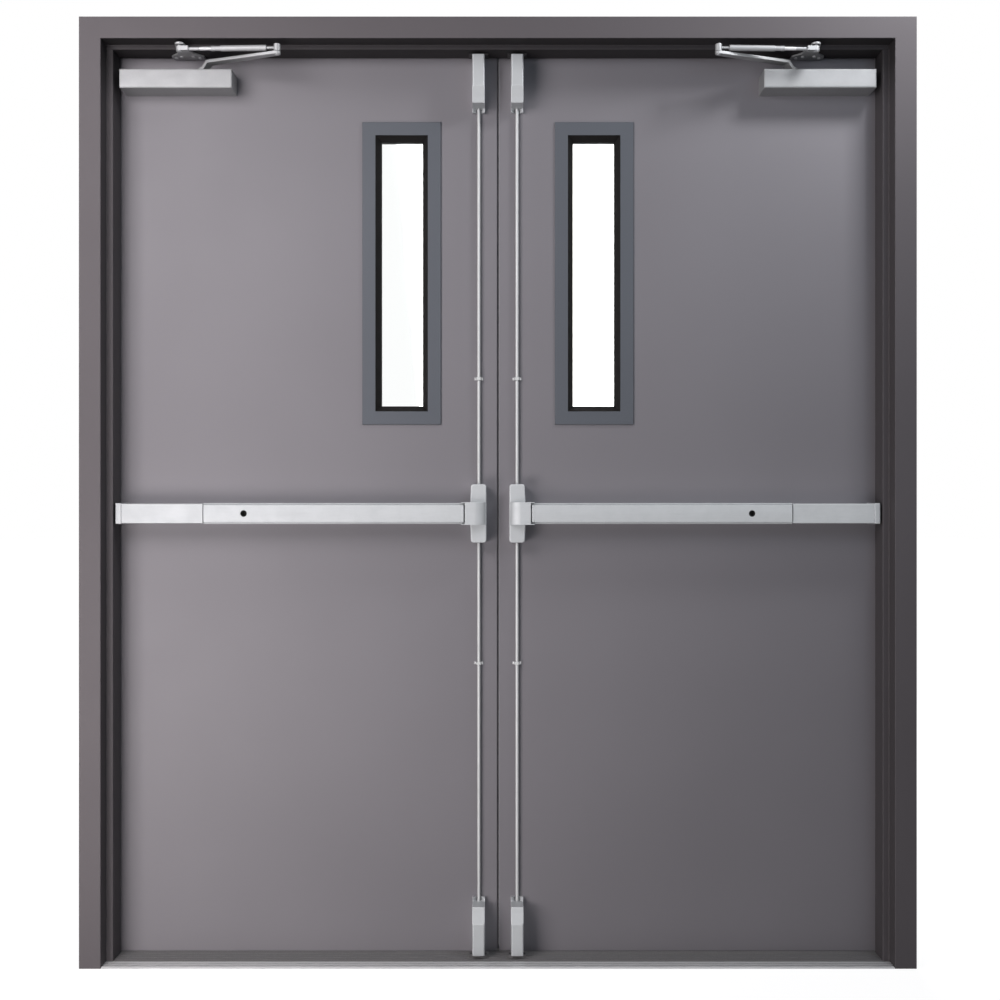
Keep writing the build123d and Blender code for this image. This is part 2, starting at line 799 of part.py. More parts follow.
# Surface closer: the housing with its spindle, the main arm, the forearm and the bracket
hub_bottom_z = closer_top_z + hub_gap
with BuildPart() as closer_body:
    with BuildSketch(section_plane(-closer_right_x)):
        with Locations((closer_projection / 2, closer_bottom_z + closer_height / 2)):
            Rectangle(closer_projection, closer_height)
    extrude(amount=closer_left_x - closer_right_x)
    front_edges = closer_body.faces().sort_by(Axis.Y)[0].edges().filter_by(Axis.X)
    fillet(front_edges.sort_by(Axis.Z)[0], radius=closer_round)
    with BuildSketch(Plane.XY.offset(closer_top_z)):
        with Locations((-spindle_x, spindle_y)):
            Circle(spindle_radius)
    extrude(amount=hub_gap + arm_thickness)
save_pair(closer_body, "closer_body")

# The arm sits low on its spindle, cranks up and runs out level, tapering to a round eye
arm_run = Vector(spindle_x - elbow_x, elbow_y - spindle_y, 0)
arm_length = arm_run.length
arm_plane = Plane((-spindle_x, spindle_y, 0), x_dir=arm_run, z_dir=arm_run.cross(Vector(0, 0, 1)))
arm_floor = Plane((-spindle_x, spindle_y, hub_bottom_z), x_dir=arm_run, z_dir=(0, 0, 1))
with BuildPart() as closer_main_arm:
    with BuildSketch(arm_plane):
        with BuildLine():
            Polyline(
                (0, hub_bottom_z),
                (arm_crank_start, hub_bottom_z),
                (arm_crank_end, arm_bottom_z),
                (arm_length, arm_bottom_z),
                (arm_length, arm_bottom_z + arm_thickness),
                (arm_crank_end - arm_thickness / 2, arm_bottom_z + arm_thickness),
                (arm_crank_start - arm_thickness / 2, hub_bottom_z + arm_thickness),
                (0, hub_bottom_z + arm_thickness),
                close=True,
            )
        make_face()
    extrude(amount=arm_width / 2, both=True)
    with BuildSketch(arm_floor):
        with BuildLine():
            Polyline(
                (0, -hub_radius),
                (arm_crank_end, -arm_width / 2),
                (arm_length, -arm_tip_width / 2),
                (arm_length, arm_tip_width / 2),
                (arm_crank_end, arm_width / 2),
                (0, hub_radius),
                close=True,
            )
        make_face()
    extrude(amount=arm_bottom_z - hub_bottom_z + arm_thickness, mode=Mode.INTERSECT)
    with BuildSketch(arm_floor):
        Circle(hub_radius)
    extrude(amount=arm_thickness)
    with BuildSketch(Plane.XY.offset(arm_bottom_z)):
        with Locations((-elbow_x, elbow_y)):
            Circle(arm_tip_width / 2)
    extrude(amount=arm_thickness)
    with BuildSketch(arm_floor):
        Circle(spindle_radius + pin_clearance)
    extrude(amount=arm_thickness, mode=Mode.SUBTRACT)
save_pair(closer_main_arm, "closer_main_arm")

# The forearm's lengths are measured from its pivot: rod, collar, sleeve, tube and a thin neck
forearm_run = Vector(pivot_x - elbow_x, elbow_y - pivot_y, 0)
forearm_length = forearm_run.length
forearm_axis = Plane((-pivot_x, pivot_y, forearm_z), z_dir=forearm_run)
forearm_floor = Plane(
    (-pivot_x, pivot_y, forearm_z - pivot_block_height / 2), x_dir=forearm_run, z_dir=(0, 0, 1)
)
forearm_steps = (
    (0, collar_start, forearm_rod_radius),
    (collar_start, collar_end, collar_radius),
    (collar_end, sleeve_end, sleeve_radius),
    (sleeve_end, tube_end, tube_radius),
    (tube_end, forearm_length, forearm_neck_radius),
)
elbow_bottom_z = arm_bottom_z + arm_thickness + elbow_gap
with BuildPart() as closer_forearm:
    for start, end, radius in forearm_steps:
        with BuildSketch(forearm_axis.offset(start)):
            Circle(radius)
        extrude(amount=end - start)
    with BuildSketch(forearm_floor):
        Circle(pivot_block_radius)
        Rectangle(pivot_block_length, 2 * pivot_block_radius, align=(Align.MIN, Align.CENTER))
    extrude(amount=pivot_block_height)
    with BuildSketch(Plane.XY.offset(elbow_bottom_z)):
        with Locations((-elbow_x, elbow_y)):
            Circle(arm_tip_width / 2)
    extrude(amount=forearm_z + elbow_rise - elbow_bottom_z)
    with BuildSketch(forearm_floor):
        Circle(post_radius + pin_clearance)
    extrude(amount=pivot_block_height, mode=Mode.SUBTRACT)
save_pair(closer_forearm, "closer_forearm")

# The bracket is a flat plate under the soffit that flares back to its base, with the pivot's post
post_end_z = forearm_z - pivot_block_height / 2 - pin_clearance
with BuildPart() as bracket_left:
    with BuildSketch(Plane((-pivot_x, stop_back_y, soffit_z))):
        with BuildLine():
            Polyline(
                (-bracket_base_width / 2, 0),
                (-bracket_base_width / 2, -bracket_base_depth),
                (-bracket_flare_width / 2, -bracket_flare_depth),
                (-bracket_neck_width / 2, -bracket_neck_depth),
                (-bracket_nose_radius, pivot_y - stop_back_y),
                (bracket_nose_radius, pivot_y - stop_back_y),
                (bracket_neck_width / 2, -bracket_neck_depth),
                (bracket_flare_width / 2, -bracket_flare_depth),
                (bracket_base_width / 2, -bracket_base_depth),
                (bracket_base_width / 2, 0),
                close=True,
            )
        make_face()
        with Locations((0, pivot_y - stop_back_y)):
            Circle(bracket_nose_radius)
    extrude(amount=-bracket_thickness)
    with BuildSketch(Plane.XY.offset(soffit_z - bracket_thickness)):
        with Locations((-pivot_x, pivot_y)):
            Circle(post_radius)
    extrude(amount=post_end_z - soffit_z + bracket_thickness)
    with BuildSketch(Plane.XY.offset(post_end_z)):
        with Locations((-pivot_x, pivot_y)):
            Circle(post_cap_radius)
    extrude(amount=-post_cap_height)

with BuildPart() as closer_brackets:
    add(bracket_left.part)
    mirror(bracket_left.part, about=Plane.YZ)
save(closer_brackets, "closer_brackets")
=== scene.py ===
"""Looks of a hollow metal double door: finishes, small hardware, light and camera.

Metres throughout, +Z up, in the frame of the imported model. The wall runs along X and the leaves
swing away from the viewer, who stands on the push side at -Y.
"""

import logging
import math
from collections.abc import Callable
from dataclasses import dataclass, field
from enum import Enum

import bmesh
import bpy
import numpy as np
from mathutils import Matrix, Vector


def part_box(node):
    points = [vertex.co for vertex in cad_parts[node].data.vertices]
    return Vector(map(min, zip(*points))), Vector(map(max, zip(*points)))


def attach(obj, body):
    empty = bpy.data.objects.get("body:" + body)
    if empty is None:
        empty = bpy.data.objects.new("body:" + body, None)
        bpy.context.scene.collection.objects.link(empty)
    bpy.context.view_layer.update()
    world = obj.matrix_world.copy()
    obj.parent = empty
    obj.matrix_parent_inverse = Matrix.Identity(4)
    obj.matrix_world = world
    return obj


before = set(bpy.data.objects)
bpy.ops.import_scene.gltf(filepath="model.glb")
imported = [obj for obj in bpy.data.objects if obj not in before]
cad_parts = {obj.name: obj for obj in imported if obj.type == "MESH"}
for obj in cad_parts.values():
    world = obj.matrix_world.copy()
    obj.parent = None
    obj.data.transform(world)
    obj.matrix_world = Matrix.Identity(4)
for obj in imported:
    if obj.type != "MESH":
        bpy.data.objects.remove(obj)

log = logging.getLogger("double_door")

Colour = tuple[float, float, float]
Grid = np.ndarray
Pin = tuple[bpy.types.Node, str | int]
MM = 0.001

# Signs of the four quarters round a centre
QUARTERS = np.array([(1, 1), (-1, 1), (-1, -1), (1, -1)], float)

# Sockets of the Mix node when it mixes colours
MIX_FIRST, MIX_SECOND, MIX_RESULT = 6, 7, 2


class Side(Enum):
    """The two leaves, with the sign of X on which each one hangs."""

    LEFT = -1.0
    RIGHT = 1.0

    def node(self, piece: str) -> str:
        """Name of this leaf's CAD node for a piece."""
        return f"{self.name.lower()}_{piece}"


class Grain(Enum):
    """Direction in which a metal was brushed or drawn, as the stretch of its noise."""

    ALONG_X = (0.04, 1.0, 1.0)
    ALONG_Z = (1.0, 1.0, 0.04)
    CAST = (1.0, 1.0, 1.0)


def shade(colour: Colour, factor: float) -> Colour:
    """A colour made lighter or darker by a factor."""
    return tuple(min(1.0, channel * factor) for channel in colour)


def unlit_rays(tree: bpy.types.NodeTree) -> bpy.types.NodeSocket:
    """Tell the rays that only see a surface from the rays that carry its light.

    Args:
        tree: Node tree to work in.

    Returns:
        Socket that is 1 for camera, gloss and transmission rays, and otherwise 0.
    """
    path = tree.nodes.new("ShaderNodeLightPath")
    seen = path.outputs["Is Camera Ray"]
    for kind in ("Is Glossy Ray", "Is Transmission Ray"):
        either = tree.nodes.new("ShaderNodeMath")
        either.operation = "MAXIMUM"
        tree.links.new(seen, either.inputs[0])
        tree.links.new(path.outputs[kind], either.inputs[1])
        seen = either.outputs[0]
    return seen


class Graph:
    """A material's node tree, with its shader and output in place.

    A pin is a node with the name or the number of one of its outputs.
    """

    def __init__(self, name: str) -> None:
        """Start a material of this name."""
        self.material = bpy.data.materials.new(name)
        self.material.use_nodes = True
        self.tree = self.material.node_tree
        self.tree.nodes.clear()
        self.output = self.tree.nodes.new("ShaderNodeOutputMaterial")
        self.shader = self.tree.nodes.new("ShaderNodeBsdfPrincipled")
        self.join((self.shader, "BSDF"), self.output, "Surface")

    def add(self, kind: str, **values: object) -> bpy.types.Node:
        """Add a node.

        Args:
            kind: Node type after the word ShaderNode.
            **values: Properties of the node, or sockets by name with spaces as underscores.

        Returns:
            The new node.
        """
        node = self.tree.nodes.new(f"ShaderNode{kind}")
        for key, value in values.items():
            if hasattr(node, key):
                setattr(node, key, value)
            else:
                node.inputs[key.replace("_", " ")].default_value = value
        return node

    def join(self, source: Pin | float, node: bpy.types.Node, into: str | int) -> None:
        """Link a pin to a node's input, or set that input to a plain number.

        Args:
            source: Pin or number.
            node: Node that takes it.
            into: Name or number of the input.
        """
        if isinstance(source, tuple):
            self.tree.links.new(source[0].outputs[source[1]], node.inputs[into])
        else:
            node.inputs[into].default_value = source

    def feed(self, into: str, source: Pin | float) -> None:
        """Give the shader's own socket a pin or a plain number."""
        self.join(source, self.shader, into)

    def axis(self, name: str) -> Pin:
        """One of the object coordinates, X, Y or Z."""
        parts = self.add("SeparateXYZ")
        self.join((self.add("TexCoord"), "Object"), parts, 0)
        return parts, name

    def noise(self, scale: float, detail: float, stretch: Colour = (1, 1, 1)) -> Pin:
        """Fractal noise in object coordinates.

        Args:
            scale: Features per metre.
            detail: Octaves.
            stretch: Scale along each axis before the noise.

        Returns:
            Pin with the noise.
        """
        mapping = self.add("Mapping", Scale=stretch)
        self.join((self.add("TexCoord"), "Object"), mapping, "Vector")
        node = self.add("TexNoise", Scale=scale, Detail=detail, Roughness=0.55)
        self.join((mapping, "Vector"), node, "Vector")
        return node, 0

    def span(self, source: Pin, low: float, high: float, start: float = 0.3, end: float = 0.7) -> Pin:
        """Carry a value on to a range, held at both of its ends.

        Args:
            source: Value that is read; the usual start and end suit a noise.
            low: Result at the start.
            high: Result at the end.
            start: Value at which the range starts.
            end: Value at which it ends.

        Returns:
            Pin with the result.
        """
        node = self.add("MapRange", From_Min=start, From_Max=end, To_Min=low, To_Max=high)
        self.join(source, node, "Value")
        return node, 0

    def maths(self, operation: str, *terms: Pin | float) -> Pin:
        """Result of one operation of the Math node on its terms."""
        node = self.add("Math", operation=operation)
        for place, term in enumerate(terms):
            self.join(term, node, place)
        return node, 0

    def scaled(self, colour: Pin, factor: Pin | float) -> Pin:
        """A colour times a factor."""
        node = self.add("VectorMath", operation="SCALE")
        self.join(colour, node, 0)
        self.join(factor, node, "Scale")
        return node, 0

    def mix(self, factor: Pin, first: Pin | Colour, second: Pin | Colour) -> Pin:
        """Mix two colours, plain or from pins, by a value.

        Args:
            factor: Value that chooses.
            first: Colour at 0.
            second: Colour at 1.

        Returns:
            Pin with the colour.
        """
        node = self.add("Mix", data_type="RGBA")
        self.join(factor, node, 0)
        for colour, place in ((first, MIX_FIRST), (second, MIX_SECOND)):
            if len(colour) == 3:
                node.inputs[place].default_value = (*colour, 1.0)
            else:
                self.join(colour, node, place)
        return node, MIX_RESULT

    def varied(self, pattern: Pin, colour: Colour, swing: float) -> Pin:
        """A colour that a pattern makes darker and lighter by a share, the swing."""
        return self.mix(pattern, shade(colour, 1 - swing), shade(colour, 1 + swing))

    def gloss(self, pattern: Pin, low: float, high: float) -> None:
        """Let the roughness run between two levels with a pattern."""
        self.feed("Roughness", self.span(pattern, low, high))

    def bump(self, source: Pin, height: float, under: Pin | None = None) -> None:
        """Raise the surface by a value.

        Args:
            source: Value that is the height.
            height: Height of the relief in metres.
            under: Normal that the relief lies on, where it isn't the surface's own.
        """
        node = self.add("Bump", Distance=height, Strength=1.0)
        self.join(source, node, "Height")
        if under:
            self.join(under, node, "Normal")
        self.join((node, "Normal"), self.shader, "Normal")


@dataclass(frozen=True)
class SatinPaint:
    """Sprayed satin enamel: a slow drift of tone, orange peel and a little uneven gloss."""

    name: str
    colour: Colour
    roughness: float = 0.42
    specular: float = 0.4
    cloud: float = 0.05
    cloud_scale: float = 1.3
    gloss_scale: float = 9.0
    gloss_swing: float = 0.04
    peel: float = 0.04 * MM
    peel_scale: float = 260.0

    def build(self) -> bpy.types.Material:
        """Make the material."""
        graph = Graph(self.name)
        cloud = graph.span(graph.noise(self.cloud_scale, detail=2.0), 0.0, 1.0)
        graph.feed("Base Color", self.recess_shade(graph, graph.varied(cloud, self.colour, self.cloud)))
        graph.gloss(graph.noise(self.gloss_scale, detail=4.0), self.roughness - self.gloss_swing,
                    self.roughness + self.gloss_swing)
        graph.feed("Specular IOR Level", self.specular)
        graph.bump(graph.noise(self.peel_scale, detail=2.0), self.peel)
        return graph.material

    def recess_shade(self, graph: Graph, tone: Pin) -> Pin:
        """Leave the tone as it is; a finish with painted shade on its returns changes it here."""
        return tone


@dataclass(frozen=True)
class FramePaint(SatinPaint):
    """The frame's enamel, with painted shade on the returns and the soffit between its two faces."""

    front: float = -72.4 * MM
    back: float = 23.0 * MM
    jamb_share: float = 0.48
    head_share: float = 0.2
    head_z: float = 2100.0 * MM
    head_blend: float = 100.0 * MM
    stop_face: float = -33.325 * MM
    stop_reach: float = 0.8 * MM
    stop_share: float = 1.9

    def recess_shade(self, graph: Graph, tone: Pin) -> Pin:
        """Paint shade into the tone: scale it by a share where y lies between the front face and the back
        of the stop.

        The share goes from the jambs' to the head's just under the head, and is multiplied by
        stop_share on the stop's own face.

        Args:
            graph: Node tree of the finish.
            tone: Tone of the outer faces.

        Returns:
            Pin with the tone of the whole frame, painted shade included.
        """
        depth = graph.axis("Y")
        behind_front = graph.maths("GREATER_THAN", depth, self.front)
        inside = graph.maths("MULTIPLY", behind_front, graph.maths("LESS_THAN", depth, self.back))
        share = graph.span(graph.axis("Z"), self.jamb_share, self.head_share,
                           self.head_z - self.head_blend, self.head_z)
        on_stop = graph.maths("COMPARE", depth, self.stop_face, self.stop_reach)
        gain = graph.span(on_stop, 1.0, self.stop_share, 0.0, 1.0)
        # Painted shade: the returns, the soffit and the stop are darkened in the colour itself.
        darker = graph.scaled(tone, graph.maths("MULTIPLY", share, gain))
        return graph.mix(inside, tone, darker)


@dataclass(frozen=True)
class SilverMetal:
    """Bare or silver-painted metal: fine lines along its grain, handling marks, soft edges and a painted
    highlight on them.

    An edge is where the bevelled normal turns from the face's own: as a painted highlight, the tone goes
    to edge times itself as their dot product falls from edge_start to edge_full.
    """

    name: str
    colour: Colour
    grain: Grain
    metallic: float = 0.55
    roughness: float = 0.36
    streak: float = 0.05
    relief: float = 0.02 * MM
    edge: float = 1.3
    edge_round: float = 1.3 * MM
    edge_start: float = 0.995
    edge_full: float = 0.9
    line_scale: float = 900.0
    mark_scale: float = 30.0
    smoother_by: float = 0.05
    rougher_by: float = 0.07

    def build(self) -> bpy.types.Material:
        """Make the material."""
        graph = Graph(self.name)
        lines = graph.noise(self.line_scale, detail=2.0, stretch=self.grain.value)
        tone = graph.varied(lines, self.colour, self.streak)
        soft = (graph.add("Bevel", samples=4, Radius=self.edge_round), 0)
        turned = graph.add("VectorMath", operation="DOT_PRODUCT")
        graph.join(soft, turned, 0)
        graph.join((graph.add("NewGeometry"), "Normal"), turned, 1)
        # Painted highlight: the colour is made lighter on rounded edges, where they would catch the light.
        edge_highlight = graph.span((turned, "Value"), 0.0, 1.0, self.edge_start, self.edge_full)
        graph.feed("Base Color", graph.mix(edge_highlight, tone, graph.scaled(tone, self.edge)))
        graph.gloss(graph.noise(self.mark_scale, detail=4.0), self.roughness - self.smoother_by,
                    self.roughness + self.rougher_by)
        graph.feed("Metallic", self.metallic)
        graph.bump(lines, self.relief, under=soft)
        return graph.material


@dataclass(frozen=True)
class ClearPane:
    """Safety glass: clear, with a slight green body and faint waves."""

    name: str
    colour: Colour
    roughness: float = 0.02
    smear: float = 0.03
    smear_scale: float = 6.0
    wave: float = 0.02 * MM
    wave_scale: float = 5.0
    refraction: float = 1.5

    def build(self) -> bpy.types.Material:
        """Make the material."""
        graph = Graph(self.name)
        graph.shader.inputs["Base Color"].default_value = (*self.colour, 1.0)
        graph.feed("Transmission Weight", 1.0)
        graph.feed("IOR", self.refraction)
        graph.gloss(graph.noise(self.smear_scale, detail=3.0), self.roughness,
                    self.roughness + self.smear)
        graph.bump(graph.noise(self.wave_scale, detail=1.0), self.wave)
        return graph.material


@dataclass(frozen=True)
class Elastomer:
    """Matt gasket rubber with a fine moulded skin and a little dust."""

    name: str
    colour: Colour
    roughness: float = 0.62
    dust: float = 0.25
    dust_scale: float = 45.0
    specular: float = 0.12
    skin: float = 0.03 * MM
    skin_scale: float = 700.0
    gloss_scale: float = 400.0
    gloss_swing: float = 0.06

    def build(self) -> bpy.types.Material:
        """Make the material."""
        graph = Graph(self.name)
        dust = graph.span(graph.noise(self.dust_scale, detail=5.0), 0.0, 1.0)
        graph.feed("Base Color", graph.mix(dust, self.colour, shade(self.colour, 1 + self.dust)))
        graph.gloss(graph.noise(self.gloss_scale, detail=2.0), self.roughness - self.gloss_swing,
                    self.roughness + self.gloss_swing)
        graph.feed("Specular IOR Level", self.specular)
        graph.bump(graph.noise(self.skin_scale, detail=2.0), self.skin)
        return graph.material


@dataclass(frozen=True)
class ShadedSaddle:
    """Fluted aluminium saddle: bare in front, with painted shade in its grooves and in a dark band behind.

    A groove is where y is within groove_half of a multiple of groove_pitch from the first one.
    """

    name: str
    colour: Colour
    coat: Colour
    streak: float = 0.07
    line_scale: float = 900.0
    shade_band_low: float = 0.8
    shade_band_high: float = 1.25
    shade_band_start: float = -35.0 * MM
    shade_band_blur: float = 1.5 * MM
    grit: float = 0.04 * MM
    grit_scale: float = 600.0
    first_groove: float = -63.425 * MM
    groove_pitch: float = 12.2 * MM
    groove_half: float = 2.4 * MM
    groove_blur: float = 0.4 * MM
    groove_shade_share: float = 0.42
    metallic: float = 0.3
    bare_roughness: float = 0.4
    shade_band_roughness: float = 0.75

    def build(self) -> bpy.types.Material:
        """Make the material."""
        graph = Graph(self.name)
        lines = graph.noise(self.line_scale, detail=2.0, stretch=Grain.ALONG_X.value)
        polished = graph.varied(lines, self.colour, self.streak)
        grit = graph.span(graph.noise(self.grit_scale, detail=3.0), 0.0, 1.0)
        shade_band_tone = graph.mix(grit, shade(self.coat, self.shade_band_low), shade(self.coat, self.shade_band_high))
        # Painted shade: a dark band behind the stop line, with a random grit tone in it.
        depth = graph.axis("Y")
        inside = graph.span(depth, 0.0, 1.0, self.shade_band_start - self.shade_band_blur, self.shade_band_start)
        # Painted shade: the colour is darkened in each groove.
        along = graph.maths("SUBTRACT", depth, self.first_groove)
        away = graph.maths("PINGPONG", along, self.groove_pitch / 2)
        groove_shade = graph.span(away, self.groove_shade_share, 1.0, self.groove_half - self.groove_blur,
                           self.groove_half + self.groove_blur)
        graph.feed("Base Color", graph.mix(inside, graph.scaled(polished, groove_shade), shade_band_tone))
        graph.feed("Metallic", graph.span(inside, self.metallic, 0.0, 0.0, 1.0))
        graph.feed("Roughness", graph.span(inside, self.bare_roughness, self.shade_band_roughness, 0.0, 1.0))
        graph.bump(grit, self.grit)
        return graph.material


FINISHES = {finish.name: finish for finish in (
    FramePaint("frame_paint", (0.145, 0.132, 0.140), roughness=0.6, specular=0.15),
    SatinPaint("leaf_paint", (0.261, 0.248, 0.267), roughness=0.5, specular=0.2),
    SatinPaint("lite_paint", (0.122, 0.132, 0.152), roughness=0.5, specular=0.3, peel_scale=380.0),
    SilverMetal("anchor_steel", (0.42, 0.42, 0.43), Grain.CAST, metallic=0.8, roughness=0.5),
    ShadedSaddle("threshold_aluminium", (0.86, 0.86, 0.87), coat=(0.17, 0.165, 0.168)),
    SilverMetal("hinge_steel", (0.5, 0.5, 0.51), Grain.ALONG_Z, metallic=0.8, roughness=0.38),
    # Painted shade: the top strikes are near black so that they read as the shaded soffit round them.
    SilverMetal("strike_steel", (0.035, 0.033, 0.034), Grain.ALONG_X, metallic=0.2, roughness=0.55,
                edge=1.0),
    # Painted shade: the bottom strikes take the dark tone of the saddle's band of painted shade.
    Elastomer("strike_coat", (0.15, 0.146, 0.149)),
    SilverMetal("arm_silver", (0.37, 0.372, 0.38), Grain.CAST, metallic=0.62, roughness=0.5,
                streak=0.04, edge=1.6, edge_round=1.0 * MM),
    SilverMetal("closer_silver", (0.32, 0.323, 0.33), Grain.CAST, metallic=0.56, roughness=0.56,
                streak=0.09, edge=1.12, edge_round=5.0 * MM),
    SilverMetal("bar_aluminium", (0.465, 0.477, 0.49), Grain.ALONG_X, metallic=0.76, roughness=0.62,
                edge=1.4, edge_round=1.6 * MM),
    SilverMetal("cap_silver", (0.475, 0.487, 0.5), Grain.CAST, metallic=0.6, roughness=0.56,
                streak=0.04, edge=1.5, edge_round=3.0 * MM),
    SilverMetal("rod_steel", (0.52, 0.525, 0.53), Grain.ALONG_Z, metallic=0.8, roughness=0.6, edge=1.0),
    SilverMetal("screw_steel", (0.58, 0.58, 0.59), Grain.CAST, metallic=0.75, roughness=0.35,
                streak=0.04, edge=1.0),
    Elastomer("seal_grey", (0.155, 0.15, 0.159)),
    # Painted shade: the near-black liner stands for the shade in the lite's reveals.
    Elastomer("liner_black", (0.010, 0.009, 0.009)),
    Elastomer("socket_black", (0.008, 0.008, 0.008), roughness=0.5),
    ClearPane("lite_pane", (0.97, 0.985, 0.98)),
)}

# Pieces of a leaf and of the frame, by finish
BODY_PIECES = {
    "leaf_paint": ("door_leaf",),
    "hinge_steel": ("hinge_halves",),
    "lite_paint": ("lite_frame_push", "lite_frame_pull"),
    "lite_pane": ("lite_glass",),
    "closer_silver": ("closer_body",),
    "arm_silver": ("closer_main_arm", "closer_forearm"),
    "bar_aluminium": ("bar_rail", "center_cover", "push_pad"),
    "cap_silver": ("bar_end_cap", "center_case", "top_latch_case", "bottom_latch_case"),
    "rod_steel": ("rod_guides", "top_rod", "bottom_rod"),
}
FRAME_PIECES = {
    "frame_paint": ("jamb_left", "jamb_right", "frame_head"),
    "anchor_steel": ("frame_anchors",),
    "threshold_aluminium": ("threshold",),
    "hinge_steel": ("hinge_frame_halves",),
    "strike_steel": ("top_strikes",),
    "strike_coat": ("bottom_strikes",),
    "arm_silver": ("closer_brackets",),
}


@dataclass
class Wardrobe:
    """Every finish of the door, made once and shared."""

    materials: dict[str, bpy.types.Material]

    @classmethod
    def build(cls) -> "Wardrobe":
        """Make every finish."""
        return cls({name: finish.build() for name, finish in FINISHES.items()})

    def dress(self, pieces: dict[str, tuple[str, ...]], name: Callable[[str], str]) -> None:
        """Give CAD nodes their finishes.

        Args:
            pieces: Pieces by finish.
            name: What turns a piece into the name of its node.
        """
        for finish, group in pieces.items():
            for node in map(name, group):
                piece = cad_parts[node]
                piece.data.materials.clear()
                piece.data.materials.append(self.materials[finish])
                log.info("%s in %s", node, finish)


def around(segments: int) -> Grid:
    """Angles in equal steps once round."""
    return np.linspace(0.0, 2.0 * math.pi, segments, endpoint=False)


def lathe(profile: Grid, centre: Colour, axis: Colour, segments: int) -> Grid:
    """Surface of revolution.

    point(i, j) = centre + height_i * axis + radius_i * (cos t_j * u + sin t_j * v),
    with u and v square to the axis and t_j running once round.

    Args:
        profile: Rows of radius and height.
        centre: Point on the axis at height 0.
        axis: Direction of growing height.
        segments: Steps round the axis.

    Returns:
        Grid of points, one closed ring a row.
    """
    along = np.array(axis, float) / np.linalg.norm(axis)
    helper = np.array((0.0, 0.0, 1.0) if abs(along[2]) < 0.9 else (1.0, 0.0, 0.0))
    first = np.cross(helper, along)
    first /= np.linalg.norm(first)
    second = np.cross(along, first)
    turn = around(segments)
    circle = np.cos(turn)[:, None] * first + np.sin(turn)[:, None] * second
    radius, height = np.asarray(profile, float).T
    return np.array(centre) + height[:, None, None] * along + radius[:, None, None] * circle[None]


def prism(section: Grid, start: Colour, run: Colour, across: Colour, up: Colour) -> Grid:
    """Closed section carried along a straight line.

    point(i, j) = start + i * run + a_j * across + b_j * up, for i = 0 and 1.

    Args:
        section: Rows of a and b round the section.
        start: Where the section's origin starts.
        run: How far it is carried.
        across: Direction of a.
        up: Direction of b.

    Returns:
        Grid of points, one closed ring a row.
    """
    section = np.asarray(section, float)
    ring = section[:, :1] * np.array(across, float) + section[:, 1:] * np.array(up, float)
    steps = np.array([0.0, 1.0])[:, None, None] * np.array(run, float)
    return np.array(start, float) + steps + ring[None]


def rounded_box(width: float, height: float, corner: float, steps: int = 5) -> Grid:
    """Outline of a rectangle with round corners, centred on its origin.

    Each corner is corner centre + corner * (cos t, sin t), t over a quarter turn.

    Args:
        width: Size along the first axis.
        height: Size along the second axis.
        corner: Radius of the corners.
        steps: Points on each corner.

    Returns:
        Rows of the two coordinates, anticlockwise.
    """
    turn = np.linspace(0.0, math.pi / 2, steps)
    centres = QUARTERS * (width / 2 - corner, height / 2 - corner)
    angles = turn[None] + np.arange(4)[:, None] * math.pi / 2
    arcs = corner * np.stack([np.cos(angles), np.sin(angles)], axis=-1)
    return (centres[:, None] + arcs).reshape(-1, 2)


@dataclass
class Casting:
    """Closed shells gathered into one named piece."""

    name: str
    crease: float = 32.0
    weld: float = 0.001 * MM
    points: list[Grid] = field(default_factory=list)
    faces: list[list[int]] = field(default_factory=list)

    def shell(self, grid: Grid, hollow: bool = False) -> None:
        """Add a grid whose rows are closed rings.

        Args:
            grid: Points, one ring a row.
            hollow: Whether the last ring meets the first, as on a mitred frame; otherwise the ends
                are capped.
        """
        rows, columns = grid.shape[:2]
        index = sum(map(len, self.points)) + np.arange(rows * columns).reshape(rows, columns)
        ahead = np.roll(index, -1, axis=0) if hollow else index[1:]
        here = index if hollow else index[:-1]
        quads = np.stack([here, np.roll(here, -1, 1), np.roll(ahead, -1, 1), ahead], axis=-1)
        self.faces += quads.reshape(-1, 4).tolist()
        if not hollow:
            self.faces += [index[0, ::-1].tolist(), index[-1].tolist()]
        self.points.append(grid.reshape(-1, 3))

    def finish(self, wardrobe: Wardrobe, slot: str, body: str, look: str = "") -> None:
        """Make the piece, close its poles, turn its faces outwards and let it ride.

        Args:
            wardrobe: Where its finish hangs.
            slot: Material slot of the record that it goes with.
            body: Body that it moves with.
            look: Finish, where it isn't the slot's own.
        """
        mesh = bpy.data.meshes.new(self.name)
        mesh.from_pydata(np.concatenate(self.points).tolist(), [], self.faces)
        shape = bmesh.new()
        shape.from_mesh(mesh)
        bmesh.ops.remove_doubles(shape, verts=shape.verts, dist=self.weld)
        bmesh.ops.recalc_face_normals(shape, faces=shape.faces)
        shape.to_mesh(mesh)
        shape.free()
        mesh.polygons.foreach_set("use_smooth", np.ones(len(mesh.polygons), bool))
        mesh.set_sharp_from_angle(angle=math.radians(self.crease))
        mesh.materials.append(wardrobe.materials[look or slot])
        piece = bpy.data.objects.new(self.name, mesh)
        bpy.context.collection.objects.link(piece)
        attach(piece, body)
        log.info("%s: %d faces on %s", self.name, len(mesh.polygons), body)


class Drive(Enum):
    """How a screw is turned."""

    CROSS = "cross"
    HEX = "hex"
    PLAIN = "plain"


